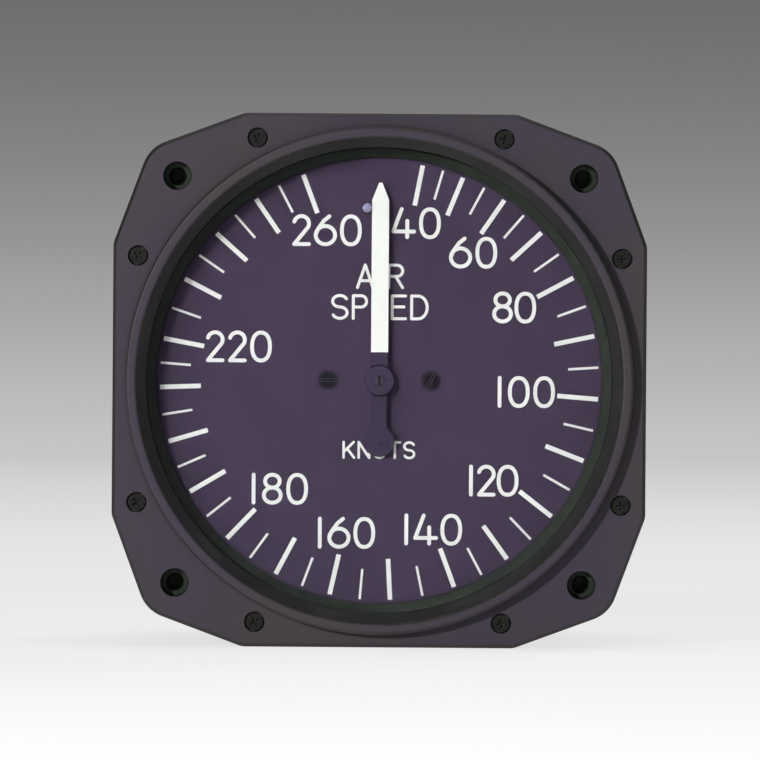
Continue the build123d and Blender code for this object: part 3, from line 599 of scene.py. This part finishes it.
def lacquered_staff(dial, movement):
    """Polished steel staff whose slotted tip was lacquered with the hub, so that only a dark
    slot shows in the middle of the pointer."""
    material, tree, place, shader = start_material(
        "polished_steel_with_lacquered_tip", movement.steel_colour, 0.22, 1.0
    )
    depth = add_node(tree, "ShaderNodeSeparateXYZ", {"Vector": place}).outputs["Y"]
    bare = add_node(
        tree,
        "ShaderNodeMath",
        {"Value": depth, "Value_001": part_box("pointer_hub")[1].y},
        operation="GREATER_THAN",
    ).outputs["Value"]
    lacquer = lacquered(tree, place, dial.hub_colour, 1.5)
    colour = add_node(
        tree,
        "ShaderNodeMix",
        {"Factor_Float": bare, "A_Color": lacquer, "B_Color": (*movement.steel_colour, 1)},
        data_type="RGBA",
    ).outputs[MIXED_COLOUR]
    tree.links.new(bare, shader.inputs["Metallic"])
    link_surface(tree, shader, colour, grain(tree, place, 0.2, 0.001))
    return material


def rolled_sheet(name, colour, roughness):
    """Sheet rolled at the mill and brushed: long fine lines one way and a soft broken sheen."""
    material, tree, place, shader = start_material(name, colour, roughness, 1.0)
    stretched = add_node(
        tree, "ShaderNodeMapping", {"Vector": place, "Scale": (0.04, 1.0, 1.0)}
    ).outputs["Vector"]
    uneven = uneven_colour(tree, stretched, 0.5, shade(colour, 0.88), colour)
    brushed = uneven_level(tree, stretched, 0.3, roughness * 0.8, roughness * 1.25)
    link_surface(tree, shader, uneven, grain(tree, stretched, 0.15, 0.002), brushed)
    return material


def toned(tree, value, tones):
    """A socket with the grey that these tones give a value."""
    first, last = tones[0][0], tones[-1][0]
    share = add_node(
        tree, "ShaderNodeMapRange", {"Value": value, "From Min": first, "From Max": last}
    )
    ramp = add_node(tree, "ShaderNodeValToRGB", {"Fac": share.outputs["Result"]})
    elements = ramp.color_ramp.elements
    while len(elements) < len(tones):
        elements.new(0.5)
    for element, (place, tone) in zip(elements, tones):
        element.position = (place - first) / (last - first)
        element.color = (*linear(tone), 1)
    return ramp.outputs["Color"]


def seen_directly(tree):
    """1 for camera, glossy and transmission rays: those that show the background itself."""
    rays = add_node(tree, "ShaderNodeLightPath").outputs
    seen = rays["Is Camera Ray"]
    for kind in ("Is Glossy Ray", "Is Transmission Ray"):
        seen = add_node(
            tree, "ShaderNodeMath", {"Value": seen, "Value_001": rays[kind]}, operation="MAXIMUM"
        ).outputs["Value"]
    return seen


def floor_paint(stage):
    """Plain matte floor that takes the object's shadow and, far off, fades into the backdrop."""
    material, tree, place, shader = start_material(
        "matte_paper_floor", stage.floor_colour, 0.9, specular=0.1
    )
    pressed = shade(stage.floor_colour, 0.97)
    paper = uneven_colour(tree, place, 40, stage.floor_colour, pressed)
    tree.links.new(paper, shader.inputs["Base Color"])
    behind = add_node(tree, "ShaderNodeSeparateXYZ", {"Vector": place}).outputs["Y"]
    fade = {"Value": behind, "From Min": FADE_START, "From Max": FADE_END}
    share, strength = (
        add_node(tree, "ShaderNodeMapRange", {**fade, "To Min": near}).outputs["Result"]
        for near in (NEAR_SHARE, NEAR_STRENGTH)
    )
    shown = add_node(
        tree,
        "ShaderNodeMath",
        {"Value": share, "Value_001": seen_directly(tree)},
        operation="MULTIPLY",
    ).outputs["Value"]
    tone = toned(tree, behind, FLOOR_TONES)
    glow = add_node(
        tree, "ShaderNodeEmission", {"Color": tone, "Strength": strength}
    ).outputs["Emission"]
    both = add_node(
        tree,
        "ShaderNodeMixShader",
        {"Fac": shown, "Shader": shader.outputs["BSDF"], "Shader_001": glow},
    )
    link_output(tree, both.outputs["Shader"])
    return material


def dress(material, *node_names):
    """Puts a material in every slot of these CAD nodes."""
    for name in node_names:
        node = frame["nodes"][name]
        for place in node.material_slots:
            place.material = material
        if not node.material_slots:
            node.data.materials.append(material)


def finished_mesh(shape, name):
    """Turns a bmesh into mesh data with its faces outwards."""
    bmesh.ops.recalc_face_normals(shape, faces=shape.faces)
    mesh = bpy.data.meshes.new(name)
    shape.to_mesh(mesh)
    shape.free()
    return mesh


def add_object(name, data):
    """Adds an object to the scene."""
    added = bpy.data.objects.new(name, data)
    bpy.context.scene.collection.objects.link(added)
    return added


def show(shape, name, material_name, body, smooth=False):
    """Makes a bmesh into a piece that rides on a body."""
    mesh = finished_mesh(shape, name)
    if smooth:
        mesh.shade_smooth()
    mesh.materials.append(bpy.data.materials[material_name])
    piece = add_object(name, mesh)
    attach(piece, body)


# Strokes: each printed mark is a thin bar of ink that follows a line on the dial

BAR_SIDE_GAP = 0.42 * MM  # extra room beside a figure 1
ARC_STEP = 9  # degrees from one point of an arc to the next
OVAL_STEPS = 44  # points round an oval
CAP_STEPS = 4  # steps in a quarter of a stroke's round end
MITRE_MIN = 0.5  # keeps the outside of a sharp bend from running out to a spike
CAP_TIP = 0.02  # what is left of the stroke's width at the very tip
INK_BEVEL = 0.02 * MM  # how far the ink's edge slopes in
BEVEL_SHARE = 0.15  # the most that it may take of half the stroke

# Characters that have straight strokes alone, as the ends of each stroke in shares of the
# character's width and height
STRAIGHT_STROKES = {
    "1": (((0.5, 0), (0.5, 1)),),
    "4": (((0.4, 1), (0, 0.2)), ((0, 0.2), (1, 0.2)), ((0.67, 0), (0.67, 0.58))),
    "A": (((0, 0), (0.5, 1)), ((0.5, 1), (1, 0)), ((0.16, 0.3), (0.84, 0.3))),
    "E": (((0, 0), (0, 1)), ((0, 1), (1, 1)), ((0, 0.52), (0.88, 0.52)), ((0, 0), (1, 0))),
    "I": (((0.5, 0), (0.5, 1)),),
    "K": (((0, 0), (0, 1)), ((0.95, 1), (0, 0.36)), ((0.32, 0.6), (1, 0))),
    "N": (((0, 0), (0, 1)), ((0, 1), (1, 0)), ((1, 0), (1, 1))),
    "T": (((0.5, 0), (0.5, 1)), ((0, 1), (1, 1))),
}


def quarter_turn(steps):
    """Angles from 0 to a right angle."""
    return [math.pi / 2 * i / steps for i in range(steps + 1)]


def line(*points):
    """A path through these points."""
    return [Vector(p) for p in points]


def arc(centre, rx, ry, start, stop):
    """Points along part of an ellipse, from one angle to another in degrees."""
    steps = max(4, round(abs(stop - start) / ARC_STEP))
    angles = [math.radians(start + (stop - start) * i / steps) for i in range(steps + 1)]
    return [Vector((centre[0] + rx * math.cos(a), centre[1] + ry * math.sin(a))) for a in angles]


def oval(centre, rx, ry, squareness=1.0):
    """A closed path: an ellipse whose sides are straightened as squareness grows over 1."""
    power = 1 / squareness
    points = []
    for a in (math.tau * i / OVAL_STEPS for i in range(OVAL_STEPS)):
        c, s = math.cos(a), math.sin(a)
        x = centre[0] + rx * math.copysign(abs(c) ** power, c)
        y = centre[1] + ry * math.copysign(abs(s) ** power, s)
        points.append(Vector((x, y)))
    return points + [points[0]]


def glyph(character, w, h):
    """The strokes of a character whose centre lines fill a box of this width and height."""
    mid = w / 2
    if character in STRAIGHT_STROKES:
        strokes = STRAIGHT_STROKES[character]
        return [[Vector((x * w, y * h)) for x, y in stroke] for stroke in strokes]
    if character in "0O":
        return [oval((mid, h / 2), mid, h / 2, 1.12 if character == "0" else 1.05)]
    if character == "2":
        foot = (0.02 * w, 0)
        return [arc((mid, h - mid), mid, mid, 165, -28) + line(foot), line(foot, (w, 0))]
    if character == "6":
        ry = 0.325 * h
        stem = line((0.7 * w, h), (0.42 * w, 0.84 * h), (0.13 * w, 0.56 * h), (0.01 * w, 0.36 * h))
        return [oval((mid, ry), mid, ry), stem]
    if character == "8":
        low, high = 0.27 * h, 0.23 * h
        return [oval((mid, low), mid, low), oval((mid, h - high), 0.86 * mid, high)]
    if character == "D":
        bowl = arc((0.42 * w, h / 2), 0.58 * w, h / 2, 90, -90)
        return [line((0, 0), (0, h)), line((0, h), (0.42 * w, h)) + bowl + line((0, 0))]
    if character in "PR":
        r = 0.25 * h
        bowl = line((0, h), (w - r, h)) + arc((w - r, h - r), r, r, 90, -90) + line((0, h / 2))
        leg = [line((0.5 * w, h / 2), (w, 0))] if character == "R" else []
        return [line((0, 0), (0, h)), bowl] + leg
    if character == "S":
        upper = arc((mid, 0.75 * h), mid, 0.25 * h, 25, 270)
        return [upper + arc((mid, 0.25 * h), mid, 0.25 * h, 90, -155)[1:]]
    raise ValueError(f"no strokes for {character!r}")


def lay_stroke(marks, path, width, ink_top, dial_face, round_ends=True):
    """Adds one bar of ink along a path of (x, z) points on the dial."""
    half = width / 2
    closed = path[0] == path[-1]
    points = path[:-1] if closed else path
    count = len(points)
    stations = []
    for i, here in enumerate(points):
        before = points[i - 1] if closed or i else here
        after = points[(i + 1) % count] if closed or i + 1 < count else here
        into = (here - before).normalized()
        out = (after - here).normalized()
        along = (into + out).normalized()
        across = Vector((-along.y, along.x))
        stretch = 1 / max(MITRE_MIN, along.dot(out if out.length else into))
        stations.append((here, across, half * stretch))
    if round_ends and not closed:
        for end, sign in ((0, -1), (-1, 1)):
            here, across, reach = stations[end]
            along = Vector((across.y, -across.x)) * sign
            cap = []
            for turn in quarter_turn(CAP_STEPS)[1:]:
                spot = here + along * half * math.sin(turn)
                cap.append((spot, across, half * max(math.cos(turn), CAP_TIP)))
            stations = cap[::-1] + stations if end == 0 else stations + cap
    bevel = min(BEVEL_SHARE * half, INK_BEVEL)
    rows = []
    for here, across, reach in stations:
        section = []
        inner = max(reach - bevel, 0)
        offsets = (-reach, -inner, inner, reach)
        for offset, depth in zip(offsets, (dial_face, ink_top, ink_top, dial_face)):
            spot = here + across * offset
            section.append(marks.verts.new((spot.x, depth, spot.y)))
        rows.append(section)
    for one, other in zip(rows, rows[1:] + (rows[:1] if closed else [])):
        for j in range(4):
            k = (j + 1) % 4
            marks.faces.new((one[j], other[j], other[k], one[k]))
    if not closed:
        marks.faces.new(rows[0])
        marks.faces.new(rows[-1][::-1])


def lay_text(marks, text, middle, height, stroke, gap, print_step):
    """Adds a line of characters centred on a point of the dial."""
    widths = [max(WIDTHS[c] * height, stroke) for c in text]
    gaps = [gap + (BAR_SIDE_GAP if "1" in pair else 0) for pair in zip(text, text[1:])]
    x = middle[0] - (sum(widths) + sum(gaps)) / 2
    for character, width, room in zip(text, widths, gaps + [0]):
        corner = Vector((x + stroke / 2, middle[1] - height / 2 + stroke / 2))
        strokes = glyph(character, width - stroke, height - stroke)
        for order, path in enumerate(strokes):
            print_step(marks, [p + corner for p in path], stroke, order)
        x += width + room


def ink_printer(dial):
    """A function that lays one stroke on the dial. Where strokes of a character cross,
    each next one lies a hair higher, so that no two faces share a plane."""
    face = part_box("dial_plate")[0].y
    hair = 0.002 * MM

    def print_step(marks, path, stroke, order, round_ends=True):
        top = face - dial.ink_height - order * hair
        lay_stroke(marks, path, stroke, top, face + hair, round_ends)

    return print_step


def on_dial(angle, radius):
    """A point of the dial at a clockwise angle from its top, in degrees."""
    a = math.radians(angle)
    return Vector((radius * math.sin(a), radius * math.cos(a)))


class PrintScale(Operator):
    """Print the ticks of the speed scale on the dial"""

    bl_idname = "airspeed.print_scale"
    bl_label = "Print Scale"

    def execute(self, context):
        dial = context.scene.airspeed_dial
        print_step = ink_printer(dial)
        marks = bmesh.new()
        for i, angle in enumerate(SCALE_ANGLES):
            ticks = [(angle, dial.major_inner_r, dial.major_width)]
            if i + 1 < len(SCALE_ANGLES):
                between = (angle + SCALE_ANGLES[i + 1]) / 2
                ticks.append((between, dial.minor_inner_r, dial.minor_width))
            for turned, inner_r, width in ticks:
                path = [on_dial(turned, r) for r in (inner_r, dial.tick_outer_r)]
                print_step(marks, path, width, 0, round_ends=False)
        show(marks, "dial_ticks", "screen_printed_ink", "housing")
        return {"FINISHED"}


class PrintNumbers(Operator):
    """Print the speeds beside their ticks"""

    bl_idname = "airspeed.print_numbers"
    bl_label = "Print Numbers"

    def execute(self, context):
        dial = context.scene.airspeed_dial
        print_step = ink_printer(dial)
        marks = bmesh.new()
        for text, *sizes_mm in NUMBER_PLACES:
            x, z, gap = (size * MM for size in sizes_mm)
            lay_text(marks, text, (x, z), dial.digit_height, dial.digit_stroke, gap, print_step)
        show(marks, "dial_numbers", "screen_printed_ink", "housing")
        return {"FINISHED"}


class PrintWords(Operator):
    """Print what the dial reads and its unit"""

    bl_idname = "airspeed.print_words"
    bl_label = "Print Words"

    def execute(self, context):
        dial = context.scene.airspeed_dial
        print_step = ink_printer(dial)
        marks = bmesh.new()
        for text, *sizes_mm in WORD_PLACES:
            x, z, height, stroke, gap = (size * MM for size in sizes_mm)
            lay_text(marks, text, (x, z), height, stroke, gap, print_step)
        show(marks, "dial_words", "screen_printed_ink", "housing")
        return {"FINISHED"}


FLANK = 0.45  # half the foot of a thread's ridge, as a share of its pitch
RUN_OUT_MIN = 0.02  # height of the ridge at its very ends, as a share of its depth


def wind_thread(threads, axis, ends, sizes, steps):
    """Adds the ridge of an internal thread: a helix whose crest stands inside the bore. The
    axis is its (x, z), ends are two places along it, and sizes are radius, pitch and depth."""
    front, back = ends
    radius, pitch, depth = sizes
    count = int((back - front) / pitch * steps)
    half_turn = steps / 2
    rows = []
    for i in range(count + 1):
        angle = math.tau * i / steps
        y = front + pitch * i / steps
        # The ridge grows over the first half turn and dies out over the last
        run_out = max(RUN_OUT_MIN, min(1.0, i / half_turn, (count - i) / half_turn))
        section = ((radius, -FLANK), (radius - depth * run_out, 0.0), (radius, FLANK))
        c, s = math.cos(angle), math.sin(angle)
        rows.append(
            [
                threads.verts.new((axis[0] + r * c, y + shift * pitch, axis[1] + r * s))
                for r, shift in section
            ]
        )
    for one, other in zip(rows, rows[1:]):
        for j in range(2):
            threads.faces.new((one[j], other[j], other[j + 1], one[j + 1]))


class CutThreads(Operator):
    """Cut the threads of the two ports and of the mounting nuts"""

    bl_idname = "airspeed.cut_threads"
    bl_label = "Cut Threads"

    def execute(self, context):
        movement = context.scene.airspeed_movement
        mounts = {mount["name"]: mount for mount in frame["record"]["mounts"]}
        for port in ("pitot_port", "static_port"):
            x, y, z = mounts[port]["pos_m"]
            dims = mounts[port]["dims"]
            pitch = movement.port_thread_pitch
            half = dims["length_mm"] * MM / 2 - pitch
            sizes = (dims["r_mm"] * MM, pitch, movement.port_thread_depth)
            threads = bmesh.new()
            wind_thread(threads, (x, z), (y - half, y + half), sizes, movement.thread_steps)
            show(threads, f"{port}_thread", "brass_turned_on_lathe", "housing")

        pattern = mounts["panel_bolts"]["dims"]
        half_x, half_z = (pattern[f"spacing_{way}_mm"] * MM / 2 for way in "xy")
        nut_front, nut_back = (corner.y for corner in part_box("mounting_nuts"))
        pitch = movement.nut_thread_pitch
        ends = (nut_front + pitch, nut_back - movement.nut_floor - pitch)
        sizes = (movement.nut_bore_r, pitch, movement.nut_thread_depth)
        threads = bmesh.new()
        for axis in ((x, z) for x in (-half_x, half_x) for z in (-half_z, half_z)):
            wind_thread(threads, axis, ends, sizes, movement.thread_steps)
        coat = "manganese_phosphate_on_steel"
        show(threads, "mounting_nut_threads", coat, "housing")
        return {"FINISHED"}


def revolved(profile, centre, around):
    """A surface turned about a line along Y: profile is a list of (radius, y) points, and
    centre the line's (x, z). A point of radius 0 closes the surface."""
    turned = bmesh.new()
    x, z = centre
    rows = []
    for radius, y in profile:
        turns = [math.tau * j / around for j in range(around if radius > 0 else 1)]
        rows.append(
            [
                turned.verts.new((x + radius * math.cos(t), y, z + radius * math.sin(t)))
                for t in turns
            ]
        )
    for one, other in zip(rows, rows[1:]):
        for j in range(around):
            corners = (one[j % len(one)], one[(j + 1) % len(one)])
            corners += (other[(j + 1) % len(other)], other[j % len(other)])
            turned.faces.new(dict.fromkeys(corners))
    return turned


class RivetTail(Operator):
    """Rivet the balance weight to the pointer's tail"""

    bl_idname = "airspeed.rivet_tail"
    bl_label = "Rivet Tail"

    def execute(self, context):
        movement = context.scene.airspeed_movement
        radius, crown = movement.rivet_radius, movement.rivet_crown
        low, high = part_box("pointer_weight")
        middle = (low + high) / 2
        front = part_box("pointer")[0].y
        tilts = quarter_turn(5)[:-1]
        profile = [(radius * math.cos(t), front - crown * math.sin(t)) for t in tilts]
        dome = revolved(profile + [(0, front - crown)], (middle.x, middle.z), around=28)
        lacquer = "black_lacquer_on_turned_hub"
        show(dome, "tail_rivet", lacquer, "pointer_shaft", smooth=True)
        return {"FINISHED"}


class SealHub(Operator):
    """Lay a bead of lacquer where the staff comes out of the hub"""

    bl_idname = "airspeed.seal_hub"
    bl_label = "Seal Hub"

    def execute(self, context):
        staff_r = context.scene.airspeed_movement.staff_radius
        hub_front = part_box("pointer_hub")[0].y
        proud = hub_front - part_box("handstaff")[0].y
        width, height = 1.4 * proud, 0.7 * proud
        profile = [
            (staff_r + width * (1 - math.sin(t)), hub_front - height * (1 - math.cos(t)))
            for t in quarter_turn(5)
        ]
        bead = revolved(profile, (0, 0), around=40)
        lacquer = "black_lacquer_on_turned_hub"
        show(bead, "hub_bead", lacquer, "pointer_shaft", smooth=True)
        return {"FINISHED"}


class FinishBody(Operator):
    """Finish the bezel, case, screws, seals and glass"""

    bl_idname = "airspeed.finish_body"
    bl_label = "Finish Body"

    def execute(self, context):
        finish = context.scene.airspeed_body
        dress(baked_enamel(finish), "bezel", "case")
        dress(flat_black(finish), "dial_surround")
        oxide = darkened_steel("black_oxide_on_steel", finish.black_oxide, finish)
        matte = darkened_steel("matte_black_oxide_on_steel", finish.oxide_matte, finish, 0.04)
        phosphate = darkened_steel("manganese_phosphate_on_steel", finish.phosphate, finish)
        dress(oxide, "bezel_screws", "case_screws")
        dress(matte, "dial_screws")
        dress(phosphate, "mounting_nuts")
        dress(moulded_rubber(finish), "glass_gasket", "sealing_washers")
        dress(coated_glass(finish), "cover_glass")
        return {"FINISHED"}


class FinishDial(Operator):
    """Finish the dial, the pointer and the hub"""

    bl_idname = "airspeed.finish_dial"
    bl_label = "Finish Dial and Pointer"

    def execute(self, context):
        dial = context.scene.airspeed_dial
        screen_ink(dial)
        dress(dial_paint(dial), "dial_plate")
        dress(pointer_paint(dial), "pointer")
        dress(hub_lacquer(dial), "pointer_hub")
        dress(lacquered_staff(dial, context.scene.airspeed_movement), "handstaff")
        return {"FINISHED"}


class FinishMovement(Operator):
    """Finish the brass, steel, aluminium and bronze inside the case and at its back"""

    bl_idname = "airspeed.finish_movement"
    bl_label = "Finish Movement"

    def execute(self, context):
        movement = context.scene.airspeed_movement
        brass = turned_metal("brass_turned_on_lathe", movement.brass_colour, 0.3, 0.754, 0.002)
        steel = turned_metal(
            "ground_and_polished_steel", movement.steel_colour, 0.22, 0.628, 0.001
        )
        bronze = turned_metal(
            "pressed_beryllium_bronze", movement.bronze_colour, 0.32, 1.885, 0.002
        )
        pin = turned_metal("domed_steel_pin", movement.pin_colour, 0.3, 0.628, 0.001, 0.32)
        sheet = rolled_sheet("rolled_and_brushed_aluminium", movement.aluminium_colour, 0.34)
        dress(brass, *BRASS_PIECES)
        dress(steel, *STEEL_PIECES)
        dress(bronze, "capsule_front_half", "capsule_rear_half", "hairspring")
        dress(pin, "stop_pin")
        dress(sheet, "front_plate", "rear_plate", "capsule_carrier", "rocking_bracket")
        return {"FINISHED"}


def backdrop_light(stage):
    """World light: even from all round, while the eye sees a grey that darkens upwards."""
    world = bpy.data.worlds.new("studio_backdrop")
    bpy.context.scene.world = world
    world.use_nodes = True
    tree = world.node_tree
    tree.nodes.clear()
    direction = add_node(tree, "ShaderNodeTexCoord").outputs["Generated"]
    height = add_node(tree, "ShaderNodeSeparateXYZ", {"Vector": direction}).outputs["Z"]
    shown, light = (
        add_node(tree, "ShaderNodeBackground", inputs).outputs["Background"]
        for inputs in (
            {"Color": toned(tree, height, BACKDROP_TONES)},
            {"Color": (1, 1, 1, 1), "Strength": stage.ambient},
        )
    )
    both = add_node(
        tree,
        "ShaderNodeMixShader",
        {"Fac": seen_directly(tree), "Shader": light, "Shader_001": shown},
    )
    add_node(tree, "ShaderNodeOutputWorld", {"Surface": both.outputs["Shader"]})


def hang_lamp(name, place, target, power, size):
    """A square soft lamp at a place, aimed at a target."""
    lamp = bpy.data.lights.new(name, "AREA")
    lamp.energy = power
    lamp.size = size
    holder = add_object(name, lamp)
    holder.location = place
    holder.rotation_euler = (Vector(target) - Vector(place)).to_track_quat("-Z", "Y").to_euler()


class SetStage(Operator):
    """Lay the floor, hang the lamps and place the camera"""

    bl_idname = "airspeed.set_stage"
    bl_label = "Set Stage"

    def execute(self, context):
        stage = context.scene.airspeed_stage
        low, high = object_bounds()
        disc = bmesh.new()
        bmesh.ops.create_circle(disc, cap_ends=True, radius=stage.floor_radius, segments=96)
        mesh = finished_mesh(disc, "studio_floor")
        mesh.materials.append(floor_paint(stage))
        floor = add_object("studio_floor", mesh)
        floor.location.z = low.z
        floor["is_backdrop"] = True

        backdrop_light(stage)
        front, middle = (0, 0, 0), (low + high) / 2
        overhead = middle + Vector((0, 0, 1.3))
        hang_lamp("key_lamp", (-0.52, -1.18, 0.24), front, stage.key_power, size=0.08)
        hang_lamp("fill_lamp", (0.9, -0.7, 0.8), front, stage.fill_power, size=0.8)
        hang_lamp("top_lamp", overhead, middle, stage.top_power, size=0.9)
        hang_lamp("rear_lamp", (0.7, 1.2, 0.7), middle, stage.rear_power, size=0.6)

        camera = bpy.data.cameras.new("studio_camera")
        camera.sensor_width = 36.0
        camera.lens = camera.sensor_width * stage.camera_distance / stage.view_width
        camera.clip_start, camera.clip_end = 0.05, 50.0
        holder = add_object("studio_camera", camera)
        aside, above = CAMERA_OFFSET
        holder.location = (aside, -stage.camera_distance, above)
        holder.rotation_euler = (math.pi / 2, -stage.camera_roll, 0)
        context.scene.camera = holder
        context.scene.view_settings.view_transform = "Standard"
        return {"FINISHED"}


class AirspeedPanel(Panel):
    """Lists the steps that dress the instrument"""

    bl_idname = "VIEW3D_PT_airspeed_indicator"
    bl_label = "Airspeed Indicator"
    bl_space_type = "VIEW_3D"
    bl_region_type = "UI"
    bl_category = "Airspeed"

    def draw(self, context):
        for step in STEPS:
            self.layout.operator(step.bl_idname)


STEPS = (
    FinishBody, FinishDial, FinishMovement, PrintScale, PrintNumbers, PrintWords, CutThreads,
    RivetTail, SealHub, SetStage,
)
SETTINGS = {
    "airspeed_dial": DialPrint,
    "airspeed_body": BodyFinish,
    "airspeed_movement": MovementFinish,
    "airspeed_stage": StageSettings,
}


def register():
    for settings in SETTINGS.values():
        bpy.utils.register_class(settings)
    for name, settings in SETTINGS.items():
        setattr(bpy.types.Scene, name, PointerProperty(type=settings))
    for step in STEPS:
        bpy.utils.register_class(step)
    bpy.utils.register_class(AirspeedPanel)


def unregister():
    bpy.utils.unregister_class(AirspeedPanel)
    for step in reversed(STEPS):
        bpy.utils.unregister_class(step)
    for name in SETTINGS:
        delattr(bpy.types.Scene, name)
    for settings in reversed(SETTINGS.values()):
        bpy.utils.unregister_class(settings)


def main():
    register()
    for step in STEPS:
        group, name = step.bl_idname.split(".")
        getattr(getattr(bpy.ops, group), name)()


if __name__ == "__main__":
    main()
